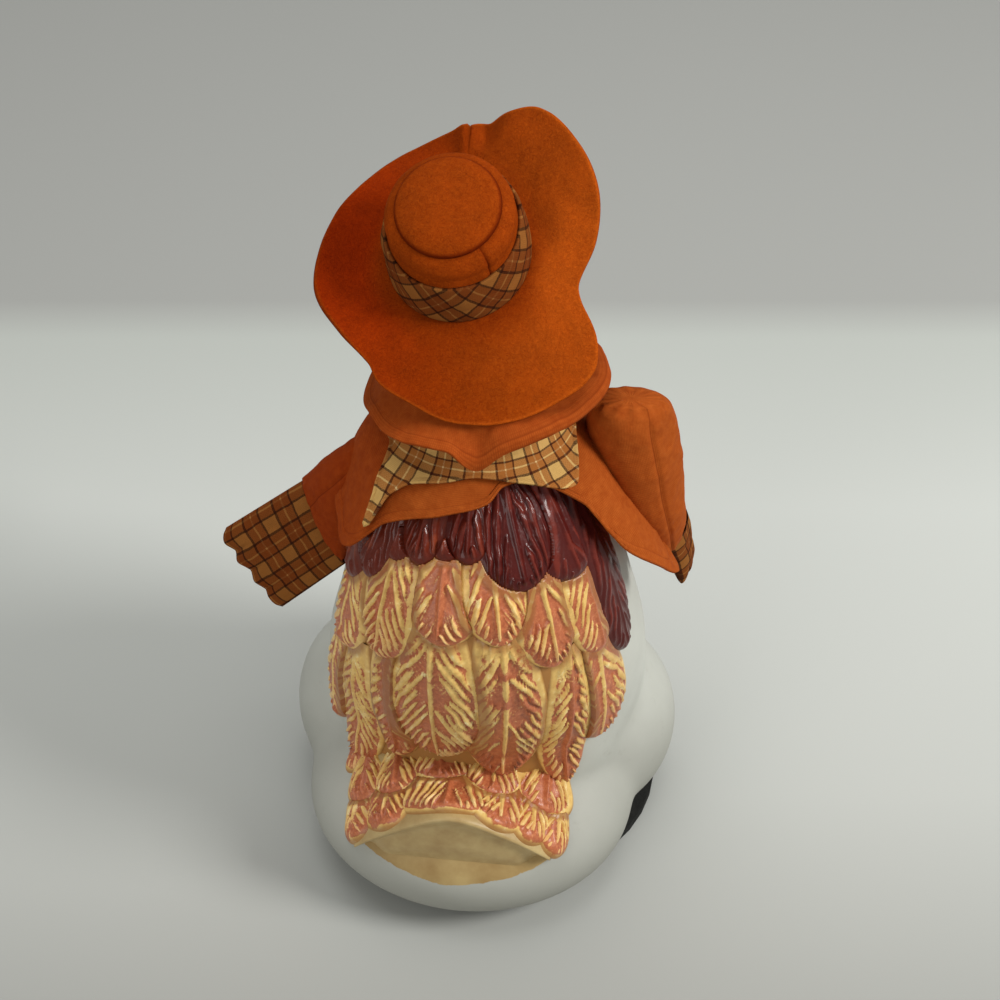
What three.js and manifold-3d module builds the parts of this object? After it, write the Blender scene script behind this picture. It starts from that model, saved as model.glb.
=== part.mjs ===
// A ceramic duck figurine dressed in a felt hat and a cotton coat.
// Lengths are millimetres. The duck faces -Y, its left side is +X, and it stands on z = 0
// with the origin under the middle of its base. Angles round the body are called turns:
// degrees from the middle of the back (+Y), positive towards the duck's left.
import * as THREE from 'three';
import { mergeVertices } from 'three/addons/utils/BufferGeometryUtils.js';
import Module from 'manifold-3d';

const wasm = await Module();
wasm.setup();

const FIT = 0.3; // gap between pieces that lie against each other
const CUT_OVERRUN = 4; // how far a cutting tool runs past what it cuts
const RAD = Math.PI / 180;

// Base pad, a disc of dark felt glued under the casting.
const PAD_THICKNESS = 2.6;
const PAD_HALF_WIDTH = 50;
const PAD_HALF_DEPTH = 46;
const PAD_FORWARD = 5;

// Body casting: hollow, poured through a hole in its foot.
const BODY_HEIGHT = 151.5;
const BODY_HALF_WIDTH = 48;
const BODY_HALF_DEPTH = 52;
const BODY_LEAN = 10; // how far the chest's middle lies behind the base's middle
const BODY_SWAY = 1.4; // and to the duck's right of it
const BODY_WALL = 4.5;
const POUR_HOLE_RADIUS = 14;
const NECK_BORE_RADIUS = 9;
const BODY_FOOT = PAD_THICKNESS + FIT;
const BODY_TOP = BODY_FOOT + BODY_HEIGHT;
// Shares of height, lean back, half width, half depth behind, half depth in front and sway.
const BODY_PROFILE_SHARES = [
  [0, 0, 0.8, 0.8, 0.85, 0],
  [0.065, 0, 0.86, 0.82, 0.96, 0],
  [0.16, 0, 0.88, 0.82, 1.02, 0.1],
  [0.27, 0.1, 0.91, 0.76, 1, 0.2],
  [0.36, 0.3, 0.92, 0.72, 0.96, 0.5],
  [0.45, 0.5, 0.895, 0.78, 0.91, 0.8],
  [0.55, 0.7, 0.82, 0.81, 0.86, 1],
  [0.65, 0.9, 0.75, 0.79, 0.8, 1],
  [0.74, 1, 0.695, 0.71, 0.71, 0.7],
  [0.825, 1, 0.61, 0.575, 0.585, 0.3],
  [0.89, 0.95, 0.515, 0.445, 0.46, 0],
  [0.945, 0.9, 0.42, 0.355, 0.37, 0],
  [1, 0.8, 0.36, 0.31, 0.32, 0],
];

// Round lobes that swell the casting's foot, the rump and the two thighs: where each one's middle
// is and how far it reaches, as shares of the body's half width, half depth and height.
const RUMP_SHARES = { x: 0.035, y: 0.4, z: 0.125, rx: 0.96, ry: 0.75, rz: 0.17 };
const LEFT_THIGH_SHARES = { x: 0.7, y: -0.096, z: 0.172, rx: 0.475, ry: 0.5, rz: 0.185 };
const RIGHT_THIGH_SHARES = { x: -0.665, y: -0.096, z: 0.172, rx: 0.475, ry: 0.5, rz: 0.185 };
const LOBE_BLEND = 20; // higher values leave a sharper crease between lobes

// Head and bill.
const HEAD_HEIGHT = 40.6;
const HEAD_HALF_WIDTH = 18.5;
const HEAD_FORWARD = 17; // how far the middle of the head lies in front of the neck
const HEAD_LEFT = 5; // and to its left
const HEAD_WALL = 4;
// Shares of height, forward shift, half width and half depth.
const HEAD_PROFILE_SHARES = [
  [0, 0, 0.76, 0.76],
  [0.12, 0.1, 0.74, 0.76],
  [0.26, 0.4, 0.86, 0.9],
  [0.42, 0.75, 1, 1.05],
  [0.58, 0.95, 1.02, 1.08],
  [0.74, 1, 0.95, 1],
  [0.87, 1, 0.74, 0.78],
  [0.96, 1, 0.42, 0.45],
  [1, 1, 0.16, 0.17],
];
const BILL_LENGTH = 24;
const BILL_HALF_WIDTH = 10.5;
const BILL_THICKNESS = 5.5;
const BILL_HEIGHT_SHARE = 0.44; // of the head's height
const EYE_RADIUS = 3.2;
const EYE_HEIGHT_SHARE = 0.62;
const EYE_TURN = 128;

// Webbed feet, flat on the ground in front of the pad.
const FOOT_LENGTH = 25;
const FOOT_HALF_WIDTH = 12;
const FOOT_THICKNESS = 6;
const FOOT_SPREAD = 19; // from the middle line to the middle of a foot
const FOOT_TURN = 12; // degrees that its toes point outward

// Feathers modelled in relief on the back, one row lapping over the next.
const FEATHER_THICKNESS = 3;
const FEATHER_HALF_WIDTH = BODY_HALF_WIDTH * 0.208;
const FEATHER_LENGTH = BODY_HEIGHT * 0.198;
const SHAFT_HEIGHT = 0.7;

// Tail: a square awning of clay under the last feathers.
const TAIL_HALF_WIDTH = BODY_HALF_WIDTH * 0.625;
const TAIL_LEFT = 2.2; // of the middle line
const TAIL_ROOT_Y = BODY_HALF_DEPTH * 0.596;
const TAIL_TIP_Y = BODY_HALF_DEPTH * 1.096;
const TAIL_TOP_Z = BODY_HEIGHT * 0.34;
const TAIL_DROOP = 18; // how far its corners hang below its middle
const TAIL_FALL = 4.5; // how far its tip lies below its root
const TAIL_CORNER_BACK = 4; // how far its corners stand back from its middle
const TAIL_EDGE = 5;
const TAIL_UNDER_Y = BODY_HALF_DEPTH;
const TAIL_UNDER_Z = BODY_HEIGHT * 0.139;

// Coat: a short bell of cotton from the neck down over the shoulders.
const COTTON = 0.8;
const COAT_NECK_SHARE = 0.982; // of the body's height
const COAT_NECK_CLEARANCE = 0.4; // over the body where the neck edge is sewn in
const COAT_CLEARANCE = 4.6; // over the body, to pass over the feathers
const COAT_FLARE = 9;
const COAT_PLEAT = 0.5;
const COAT_PLEAT_COUNT = 9;

// Square plaid collar on the shoulders, and the flared neck ruff above it.
const PLAID_COLLAR_DROP_SHARE = 0.008; // below the coat's neck edge, of the body's height
const RUFF_ROOT_CLEARANCE = 0.35;
const RUFF_ROOT_RISE_SHARE = 0.005; // above the coat's neck edge, of the body's height
const RUFF_FORWARD = 2; // how far the middle of its rim lies in front of the neck
const RUFF_RIM_RADIUS = 30.5;
const RUFF_HEIGHT = 11;

// Sleeves and the plaid wing mitts sewn into them. Each station of a sleeve has the middles of
// its outer and inner edge, then half its depth; a mitt has the corners of its cuff and tip.
// Each point is shares of the body's half width, half depth and height.
const SHOULDER_SHARE = 0.87;
const LEFT_SLEEVE_SHARES = [
  [[0.543, 0.172, 0.931], [0.625, 0.192, 0.779], 0.154],
  [[0.707, 0.184, 0.888], [0.666, 0.201, 0.719], 0.172],
  [[0.855, 0.146, 0.838], [0.707, 0.201, 0.673], 0.154],
  [[0.985, 0.082, 0.776], [0.757, 0.207, 0.632], 0.096],
];
const LEFT_MITT_SHARES = {
  cuff: [[0.745, 0.213, 0.624], [0.978, 0.076, 0.77]],
  tip: [[1.143, 0.262, 0.509], [1.515, 0.128, 0.634]],
};
const RIGHT_SLEEVE_SHARES = [
  [[-0.865, 0.117, 1.023], [-0.634, 0.131, 1.02], 0.058],
  [[-0.934, 0.105, 1.007], [-0.562, 0.128, 1.001], 0.134],
  [[-0.975, 0.076, 0.979], [-0.543, 0.117, 0.95], 0.192],
  [[-1.026, 0.038, 0.914], [-0.584, 0.076, 0.865], 0.23],
  [[-1.067, -0.02, 0.815], [-0.666, 0.02, 0.772], 0.242],
  [[-1.089, -0.096, 0.723], [-0.792, -0.076, 0.7], 0.213],
  [[-1.083, -0.172, 0.66], [-0.915, -0.154, 0.656], 0.172],
];
const RIGHT_MITT_SHARES = {
  cuff: [[-1.013, -0.058, 0.651], [-1.064, -0.364, 0.651]],
  tip: [[-1.108, -0.154, 0.52], [-1.13, -0.422, 0.525]],
};
const MITT_THICKNESS = 6.4;
const MITT_FINGER_COUNT = 4;
const MITT_SCALLOP_SHARE = 0.13; // depth of the notches between fingers, of the mitt's length
const ARM_FORWARD_TURN = 40;
const LEFT_ARM_BACK_TURN = 10;
const SWING_STEP_TURN = 5; // degrees between the places where an arm is cut clear of the coat

// Hat, in its own frame: origin where the crown meets the brim, +Z up the crown.
const FELT = 1.5;
const CROWN_RADIUS = HEAD_HALF_WIDTH * 0.881;
const CROWN_HEIGHT = 21;
const CROWN_TIP_RADIUS = CROWN_RADIUS * 0.755;
const CROWN_LEAN = 3.6; // how far its tip leans forward over its foot
const BAND_WIDTH = 12;
const BRIM_RADIUS = 34;
const BRIM_FLAT_SHARE = 0.18; // how far out the brim stays flat under the band
const BRIM_WAVE = 5.5;
const HAT_BACK_TURN = 34; // degrees that it tips back
const HAT_LEFT_TURN = 4; // and to the left
const HAT_HEIGHT_SHARE = 0.86; // height of the crown's foot, of the head's height
const HAT_FORWARD_SHARE = 0.38; // of the head's shift forward
const HAT_LEFT_SHARE = 1.1; // of the head's shift to the left

const COAT_SIDES = 60; // divisions round the coat and the collar on it

const V = (x, y, z) => new THREE.Vector3(x, y, z);
const lerp = THREE.MathUtils.lerp;
const clamp = THREE.MathUtils.clamp;
const smooth = (from, to, t) => THREE.MathUtils.smoothstep(t, from, to);

// A value from a table of shares: column of the row at share t, on a smooth curve.
function share(table, column, t) {
  const last = table.length - 1;
  let i = 0;
  while (i < last - 1 && t > table[i + 1][0]) i += 1;
  const row = (k) => table[clamp(k, 0, last)];
  const [x0, x1] = [row(i)[0], row(i + 1)[0]];
  const f = clamp((t - x0) / (x1 - x0), 0, 1);
  const slope = (k) => {
    const [a, b] = [row(k - 1), row(k + 1)];
    return (b[column] - a[column]) / (b[0] - a[0]);
  };
  const [p, q] = [row(i)[column], row(i + 1)[column]];
  const [m, n] = [slope(i) * (x1 - x0), slope(i + 1) * (x1 - x0)];
  const [f2, f3] = [f * f, f * f * f];
  return p * (2 * f3 - 3 * f2 + 1) + m * (f3 - 2 * f2 + f) + q * (3 * f2 - 2 * f3) + n * (f3 - f2);
}

// How far a lobe reaches from the body's upright axis at height z, along a turn.
function lobeReach(lobe, axisX, axisY, side, back, z) {
  const scale = 1 - ((z - lobe.z) / lobe.rz) ** 2;
  if (scale <= 0) return 0;
  const [rx, ry] = [lobe.rx * Math.sqrt(scale), lobe.ry * Math.sqrt(scale)];
  const [cx, cy] = [lobe.x - axisX, lobe.y - axisY];
  const a = (side / rx) ** 2 + (back / ry) ** 2;
  const b = (side * cx) / rx ** 2 + (back * cy) / ry ** 2;
  const c = (cx / rx) ** 2 + (cy / ry) ** 2 - 1;
  const root = b * b - a * c;
  return root <= 0 ? 0 : Math.max(0, (b + Math.sqrt(root)) / a);
}

const bodyLobes = [RUMP_SHARES, LEFT_THIGH_SHARES, RIGHT_THIGH_SHARES].map((shares) => ({
  x: shares.x * BODY_HALF_WIDTH,
  y: shares.y * BODY_HALF_DEPTH,
  z: shares.z * BODY_HEIGHT,
  rx: shares.rx * BODY_HALF_WIDTH,
  ry: shares.ry * BODY_HALF_DEPTH,
  rz: shares.rz * BODY_HEIGHT,
}));

// The body's axis and its reach from that axis.
const bodyShare = (column, z) => share(BODY_PROFILE_SHARES, column, (z - BODY_FOOT) / BODY_HEIGHT);
const bodyAxisX = (z) => -BODY_SWAY * bodyShare(5, z);
const bodyAxisY = (z) => BODY_LEAN * bodyShare(1, z);
function bodyReach(turn, z) {
  const [side, back] = [Math.sin(turn * RAD), Math.cos(turn * RAD)];
  const depth = bodyShare(back > 0 ? 3 : 4, z) * BODY_HALF_DEPTH;
  const width = bodyShare(2, z) * BODY_HALF_WIDTH;
  const trunk = 1 / Math.hypot(side / width, back / depth);
  const axis = [bodyAxisX(z), bodyAxisY(z)];
  const reaches = [trunk, ...bodyLobes.map((l) => lobeReach(l, ...axis, side, back, z))];
  const longest = Math.max(...reaches);
  const sum = reaches.reduce((s, r) => s + (r / longest) ** LOBE_BLEND, 0);
  return longest * sum ** (1 / LOBE_BLEND);
}
function bodyPoint(turn, z) {
  const r = bodyReach(turn, z);
  return V(bodyAxisX(z) + r * Math.sin(turn * RAD), bodyAxisY(z) + r * Math.cos(turn * RAD), z);
}

// A point at a height above the body's surface, along its outward normal.
function overBody(turn, z, lift) {
  const [da, dz] = [2, BODY_HEIGHT / 100];
  const across = bodyPoint(turn + da, z).sub(bodyPoint(turn - da, z));
  const up = bodyPoint(turn, z + dz).sub(bodyPoint(turn, z - dz));
  const normal = up.cross(across).normalize();
  return bodyPoint(turn, z).addScaledVector(normal, lift);
}

// Turns a grid of points into triangles. Rows run along j, and wrap if closed.
function gridFaces(faces, index, columns, rows, closed, flip) {
  for (let j = 0; j < rows; j += 1)
    for (let i = 0; i < columns; i += 1) {
      const next = closed ? (i + 1) % columns : i + 1;
      const quad = [index(i, j), index(next, j), index(next, j + 1), index(i, j + 1)];
      if (flip) quad.reverse();
      faces.push([quad[0], quad[1], quad[2]], [quad[0], quad[2], quad[3]]);
    }
}

function geometryFrom(points, faces) {
  const flat = new Float32Array(points.flatMap((p) => [p.x, p.y, p.z]));
  return new THREE.BufferGeometry()
    .setAttribute('position', new THREE.BufferAttribute(flat, 3))
    .setIndex(faces.flat());
}

// A geometry as a solid, with shared vertices merged and empty triangles left out.
function solidOf(geometry) {
  const bare = new THREE.BufferGeometry()
    .setAttribute('position', geometry.getAttribute('position'))
    .setIndex(geometry.index);
  const merged = mergeVertices(bare, FIT / 1000);
  const kept = [];
  const ids = merged.index.array;
  for (let i = 0; i < ids.length; i += 3) {
    const [a, b, c] = [ids[i], ids[i + 1], ids[i + 2]];
    if (a !== b && b !== c && a !== c) kept.push(a, b, c);
  }
  const mesh = new wasm.Mesh({
    numProp: 3,
    vertProperties: merged.getAttribute('position').array,
    triVerts: new Uint32Array(kept),
  });
  return new wasm.Manifold(mesh);
}

function geometryOf(solid) {
  const mesh = solid.getMesh();
  return new THREE.BufferGeometry()
    .setAttribute('position', new THREE.BufferAttribute(new Float32Array(mesh.vertProperties), 3))
    .setIndex(Array.from(mesh.triVerts));
}

// The largest body of a cut solid, without the crumbs and slivers that a cut leaves.
function largest(solid) {
  const bodies = solid.decompose().sort((a, b) => b.volume() - a.volume());
  return bodies[0].simplify(FIT / 4);
}

// A solid shell from two layers of points, inner(u, v) and outer(u, v), both over 0 to 1.
function shell(inner, outer, columns, rows, closed = false, spread = (v) => v) {
  const across = closed ? columns : columns + 1;
  const points = [];
  for (const layer of [inner, outer])
    for (let j = 0; j <= rows; j += 1)
      for (let i = 0; i < across; i += 1) points.push(layer(i / columns, spread(j / rows)));
  const size = across * (rows + 1);
  const at = (layer) => (i, j) => layer * size + j * across + i;
  const faces = [];
  gridFaces(faces, at(0), columns, rows, closed, true);
  gridFaces(faces, at(1), columns, rows, closed, false);
  for (const j of [0, rows])
    gridFaces(faces, (i, layer) => at(layer)(i, j), columns, 1, closed, j === rows);
  if (!closed)
    for (const i of [0, columns])
      gridFaces(faces, (j, layer) => at(layer)(i, j), rows, 1, false, i === 0);
  const solid = solidOf(geometryFrom(points, faces));
  if (solid.volume() >= 0) return solid;
  return solidOf(geometryFrom(points, faces.map((f) => [f[0], f[2], f[1]])));
}

// A solid through closed rings of points, capped at both ends.
function loft(rings) {
  const n = rings[0].length;
  const points = rings.flat();
  const faces = [];
  gridFaces(faces, (i, j) => j * n + i, n, rings.length - 1, true, false);
  for (const j of [0, rings.length - 1]) {
    const middle = rings[j].reduce((s, p) => s.add(p), V(0, 0, 0)).divideScalar(n);
    points.push(middle);
    for (let i = 0; i < n; i += 1) {
      const pair = [j * n + i, j * n + ((i + 1) % n)];
      if (j === 0) pair.reverse();
      faces.push([...pair, points.length - 1]);
    }
  }
  const solid = solidOf(geometryFrom(points, faces));
  if (solid.volume() >= 0) return solid;
  return solidOf(geometryFrom(points, faces.map((f) => [f[0], f[2], f[1]])));
}

// A ring of n points: an ellipse about a centre, spanned by two half axes.
function ellipse(centre, halfA, halfB, n) {
  return Array.from({ length: n }, (_, i) => {
    const a = (2 * Math.PI * i) / n;
    return centre.clone().addScaledVector(halfA, Math.cos(a)).addScaledVector(halfB, Math.sin(a));
  });
}

// An upright cylinder from z0 to z1 as a solid.
function column(radius, z0, z1, x = 0, y = 0, sides = 24) {
  const shape = new THREE.CylinderGeometry(radius, radius, z1 - z0, sides);
  shape.deleteAttribute('normal');
  shape.deleteAttribute('uv');
  return solidOf(shape.rotateX(Math.PI / 2).translate(x, y, (z0 + z1) / 2));
}

const root = new THREE.Group();
function addPiece(parent, name, solid, material) {
  const mesh = new THREE.Mesh(geometryOf(solid), material);
  mesh.name = name;
  parent.add(mesh);
  return mesh;
}

// Materials, one for each finish.
const finish = (color, roughness) => new THREE.MeshStandardMaterial({ color, roughness, metalness: 0 });
const whiteClay = finish(0xdfe2e0, 0.55);
const creamClay = finish(0xd9b36c, 0.4);
const maroonGlaze = finish(0x5e1f1f, 0.18);
const billClay = finish(0xd9822b, 0.35);
const eyeGlaze = finish(0x16120f, 0.1);
const darkFelt = finish(0x2f302f, 0.95);
const orangeFelt = finish(0xd9661a, 0.95);
const orangeCotton = finish(0xc8612a, 0.9);
const plaidCotton = finish(0xa9743c, 0.9);

// Base pad.
function padSolid() {
  const ring = (z) =>
    ellipse(V(0, -PAD_FORWARD, z), V(PAD_HALF_WIDTH, 0, 0), V(0, PAD_HALF_DEPTH, 0), 40);
  return loft([ring(0), ring(PAD_THICKNESS)]);
}

// The casting's outer form, grown outward by a clearance.
function bodyForm(grow, sides = 36, step = 1 / 20) {
  const rings = [];
  for (let t = 0; t <= 1 + step / 2; t += step) {
    const z = BODY_FOOT + Math.min(t, 1) * BODY_HEIGHT;
    rings.push(
      Array.from({ length: sides }, (_, i) => {
        const turn = -(360 * i) / sides;
        const p = bodyPoint(turn, z);
        const out = V(Math.sin(turn * RAD), Math.cos(turn * RAD), 0);
        return p.addScaledVector(out, grow);
      }),
    );
  }
  return loft(rings);
}

function bodySolid() {
  const shares = [0.05, 0.12, 0.25, 0.4, 0.55, 0.7, 0.8, 0.88, 0.94];
  const hollow = loft(
    shares.map((t) => {
      const z = BODY_FOOT + t * BODY_HEIGHT;
      return Array.from({ length: 20 }, (_, i) => {
        const turn = -(360 * i) / 20;
        const r = bodyReach(turn, z) - BODY_WALL * (t > 0.6 ? 1.25 : 1.1);
        const [side, back] = [Math.sin(turn * RAD), Math.cos(turn * RAD)];
        return V(bodyAxisX(z) + r * side, bodyAxisY(z) + r * back, z);
      });
    }),
  );
  const pourHole = column(POUR_HOLE_RADIUS, BODY_FOOT - CUT_OVERRUN, BODY_FOOT + BODY_HEIGHT * 0.2);
  const neckHole = column(
    NECK_BORE_RADIUS,
    BODY_FOOT + BODY_HEIGHT * 0.85,
    BODY_TOP + CUT_OVERRUN,
    0,
    bodyAxisY(BODY_TOP),
  );
  return bodyForm(0).subtract(hollow).subtract(pourHole).subtract(neckHole);
}

// The head, a rounded skull over a short neck, in front of the neck joint.
const headFoot = BODY_TOP + FIT;
const neckY = bodyAxisY(BODY_TOP);
function headRing(t, inset, sides) {
  const [forward, width, depth] = [1, 2, 3].map((k) => share(HEAD_PROFILE_SHARES, k, t));
  const centre = V(HEAD_LEFT * forward, neckY - HEAD_FORWARD * forward, headFoot + HEAD_HEIGHT * t);
  const [a, b] = [width, depth].map((s) => Math.max(HEAD_HALF_WIDTH * s - inset, FIT));
  return ellipse(centre, V(a, 0, 0), V(0, b, 0), sides);
}
function headPoint(turn, t, lift) {
  const [forward, width, depth] = [1, 2, 3].map((k) => share(HEAD_PROFILE_SHARES, k, t));
  const [a, b] = [HEAD_HALF_WIDTH * width + lift, HEAD_HALF_WIDTH * depth + lift];
  const y = neckY - HEAD_FORWARD * forward;
  const [side, back] = [Math.sin(turn * RAD), Math.cos(turn * RAD)];
  return V(HEAD_LEFT * forward + a * side, y + b * back, headFoot + HEAD_HEIGHT * t);
}
const headForm = (inset, sides, shares) => loft(shares.map((t) => headRing(t, inset, sides)));
function headSolid() {
  const outer = headForm(0, 26, [0, 0.12, 0.26, 0.42, 0.58, 0.74, 0.87, 0.96, 1]);
  const inner = headForm(HEAD_WALL, 16, [0.1, 0.26, 0.42, 0.58, 0.74, 0.86]);
  const bore = column(NECK_BORE_RADIUS, headFoot - CUT_OVERRUN, headFoot + HEAD_HEIGHT * 0.3, 0, neckY);
  return outer.subtract(inner).subtract(bore);
}

// One half of the bill: rounded, widest near its end, arched across.
function billSolid(upper) {
  const z0 = headFoot + HEAD_HEIGHT * BILL_HEIGHT_SHARE;
  const rootPoint = headPoint(180, BILL_HEIGHT_SHARE, 0);
  const way = upper ? 1 : -1;
  const stations = [-0.2, 0.1, 0.35, 0.6, 0.82, 0.95, 1];
  const widths = [0.72, 0.74, 0.8, 0.95, 1, 0.78, 0.42];
  const rings = stations.map((t, k) => {
    const half = BILL_HALF_WIDTH * widths[k] * (upper ? 1 : 0.9);
    const rise = BILL_THICKNESS * (upper ? lerp(1.5, 0.45, Math.max(t, 0)) : lerp(0.6, 0.35, Math.max(t, 0)));
    const base = z0 + way * FIT - BILL_LENGTH * 0.16 * Math.max(t, 0);
    const y = rootPoint.y - BILL_LENGTH * t * (upper ? 1 : 0.92);
    return Array.from({ length: 12 }, (_, i) => {
      const a = (2 * Math.PI * i) / 12;
      const lift = Math.sin(a) > 0 ? rise * Math.sin(a) : 0;
      return V(rootPoint.x + half * Math.cos(a), y, base + way * lift);
    }).filter((p, i) => i <= 6);
  });
  return loft(rings).subtract(headForm(-FIT, 26, [0, 0.12, 0.26, 0.42, 0.58, 0.74, 0.87, 0.96, 1]));
}

function eyeSolid(side) {
  const centre = headPoint(side * EYE_TURN, EYE_HEIGHT_SHARE, 0);
  const ball = new THREE.SphereGeometry(EYE_RADIUS, 10, 8);
  ball.deleteAttribute('normal');
  ball.deleteAttribute('uv');
  const eye = solidOf(ball.translate(centre.x, centre.y, centre.z));
  return eye.subtract(headForm(-FIT, 26, [0, 0.12, 0.26, 0.42, 0.58, 0.74, 0.87, 0.96, 1]));
}

// A webbed foot with three toes, its heel under the belly.
function footSolid(side) {
  const outline = new THREE.Shape();
  const toe = FOOT_HALF_WIDTH * 0.36;
  const heel = FOOT_HALF_WIDTH * 0.42;
  outline.moveTo(-heel, 0);
  outline.lineTo(heel, 0);
  for (const [x, reach] of [
    [FOOT_HALF_WIDTH - toe, 0.86],
    [0, 1],
    [toe - FOOT_HALF_WIDTH, 0.86],
  ]) {
    outline.lineTo(x + toe, -FOOT_LENGTH * (reach - 0.14));
    outline.quadraticCurveTo(x + toe, -FOOT_LENGTH * reach, x, -FOOT_LENGTH * reach);
    outline.quadraticCurveTo(x - toe, -FOOT_LENGTH * reach, x - toe, -FOOT_LENGTH * (reach - 0.14));
    if (x > toe - FOOT_HALF_WIDTH) outline.lineTo(x - toe * 1.15, -FOOT_LENGTH * 0.76);
  }
  outline.closePath();
  const bevel = FOOT_THICKNESS * 0.22;
  const shape = new THREE.ExtrudeGeometry(outline, {
    depth: FOOT_THICKNESS - 2 * bevel,
    bevelThickness: bevel,
    bevelSize: bevel,
    bevelOffset: -bevel,
    bevelSegments: 1,
    curveSegments: 3,
  });
  shape.deleteAttribute('normal');
  shape.deleteAttribute('uv');
  const heelY = -PAD_FORWARD - PAD_HALF_DEPTH + FOOT_LENGTH * 0.2;
  const placed = shape.rotateZ(side * FOOT_TURN * RAD).translate(side * FOOT_SPREAD, heelY, bevel);
  const padHole = ellipse(
    V(0, -PAD_FORWARD, -CUT_OVERRUN),
    V(PAD_HALF_WIDTH + FIT, 0, 0),
    V(0, PAD_HALF_DEPTH + FIT, 0),
    40,
  );
  const padCut = loft([padHole, padHole.map((p) => V(p.x, p.y, BODY_FOOT))]);
  return solidOf(placed).subtract(padCut).subtract(bodyForm(FIT));
}

// Half width of a feather's outline, from its root at v = 0 to its tip at v = 1.
const FEATHER_ROOT_SHARE = 0.55;
const FEATHER_WIDEST_SHARE = 0.6;
function featherOutline(v) {
  if (v < FEATHER_WIDEST_SHARE)
    return lerp(FEATHER_ROOT_SHARE, 1, Math.sin((Math.PI / 2) * (v / FEATHER_WIDEST_SHARE)));
  return Math.sqrt(Math.max(0, 1 - ((v - FEATHER_WIDEST_SHARE) / (1 - FEATHER_WIDEST_SHARE)) ** 2));
}

// Height of a feather's face: thin at its root, proud at its tip, domed, with a raised shaft.
function featherRise(u, v) {
  const plate = FEATHER_THICKNESS * lerp(0.5, 1, v) * (1 - 0.45 * u * u);
  const shaft = SHAFT_HEIGHT * Math.max(0, 1 - Math.abs(u) * 3) * (1 - v * v);
  return plate * (1 - 0.45 * smooth(0.85, 1, v)) + shaft;
}

// A feather on a surface: place(across, along, lift) gives a point, in lengths from its tip.
function featherSolid(place, halfWidth, length, grow) {
  const layer = (top) => (s, v) => {
    const u = 2 * s - 1;
    const across = u * (featherOutline(v) * halfWidth + grow);
    const along = length * (1 - v) - grow * v;
    return place(across, along, top ? featherRise(u, v) + FIT + grow : FIT * 1.5 - 3 * grow);
  };
  const towardsTip = (v) => Math.sin((Math.PI / 2) * v) ** 0.8;
  return shell(layer(false), layer(true), 6, 4, false, towardsTip);
}

// Feathers on the back. A row of a table is a feather: turn, then the tip's height as a share
// of the body's height, then shares of the feather's half width and length.
function backTier(shares, grow) {
  const made = shares.map(([turn, tip, wide, long]) => {
    const tipZ = BODY_FOOT + tip * BODY_HEIGHT;
    const place = (across, along, lift) => {
      const z = tipZ + along;
      const reach = bodyReach(turn, z);
      return overBody(turn + across / reach / RAD, z, lift);
    };
    return featherSolid(place, FEATHER_HALF_WIDTH * wide, FEATHER_LENGTH * long, grow);
  });
  return wasm.Manifold.union(made);
}

const CAPE_SHARES = [
  [59, 0.69, 0.85, 0.95],
  [45, 0.735, 0.85, 0.9],
  [33, 0.79, 0.8, 0.7],
  [22, 0.8, 0.75, 0.62],
  [11, 0.815, 0.75, 0.55],
  [0, 0.815, 0.75, 0.52],
  [-11, 0.83, 0.75, 0.5],
  [-25, 0.77, 1.25, 0.75],
  [-50, 0.755, 1.2, 0.8],
  [-68, 0.53, 0.85, 1.9],
];
const UPPER_SHARES = [
  [57, 0.53, 1.05, 1.1],
  [32, 0.605, 0.95, 1.3],
  [8, 0.685, 1.1, 1.05],
  [-13, 0.69, 0.9, 1],
  [-32, 0.62, 0.95, 1.25],
  [-53, 0.59, 0.9, 1.3],
];
const LOWER_SHARES = [
  [62, 0.28, 0.75, 1.6],
  [47, 0.235, 0.88, 1.85],
  [29, 0.365, 0.85, 1.55],
  [8, 0.45, 1.35, 1.45],
  [-15, 0.372, 1.2, 1.8],
  [-38, 0.275, 0.75, 1.9],
  [-52, 0.363, 1.15, 1.45],
];

// The tail's upper face: u across from -1 to 1, v from its root to its tip.
function tailTop(u, v, lift) {
  const z = TAIL_TOP_Z - TAIL_DROOP * u * u * lerp(0.55, 1, v) - TAIL_FALL * v;
  const y = lerp(TAIL_ROOT_Y, TAIL_TIP_Y, v) - TAIL_CORNER_BACK * u * u * v;
  const spread = TAIL_HALF_WIDTH * (1 - 0.04 * v);
  const tilt = Math.atan((2 * TAIL_DROOP * u * lerp(0.55, 1, v)) / spread);
  return V(TAIL_LEFT + spread * u + lift * Math.sin(tilt), y, z + lift * Math.cos(tilt));
}
function tailSolid() {
  const rings = [];
  const columns = 14;
  for (let i = 0; i <= columns; i += 1) {
    const u = lerp(-1, 1, i / columns);
    const arch = u * u;
    const [a, b, c] = [tailTop(u, 0, 0), tailTop(u, 0.5, 0), tailTop(u, 1, 0)];
    const edge = V(c.x, c.y - 0.12 * TAIL_EDGE, c.z - TAIL_EDGE * (1 - 0.6 * arch));
    const hollowY = lerp(c.y, TAIL_UNDER_Y, 0.7) - 0.4 * TAIL_EDGE;
    const hollow = V(c.x, hollowY, lerp(c.z, TAIL_UNDER_Z, 0.45));
    const under = V(c.x, TAIL_UNDER_Y - TAIL_EDGE * arch, TAIL_UNDER_Z + 0.6 * TAIL_EDGE * arch);
    const inner = V(a.x, a.y - 0.4 * TAIL_EDGE, TAIL_UNDER_Z + 0.4 * TAIL_EDGE);
    rings.push([a, b, c, edge, hollow, under, inner]);
  }
  return loft(rings).subtract(bodyForm(FIT));
}

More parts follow.
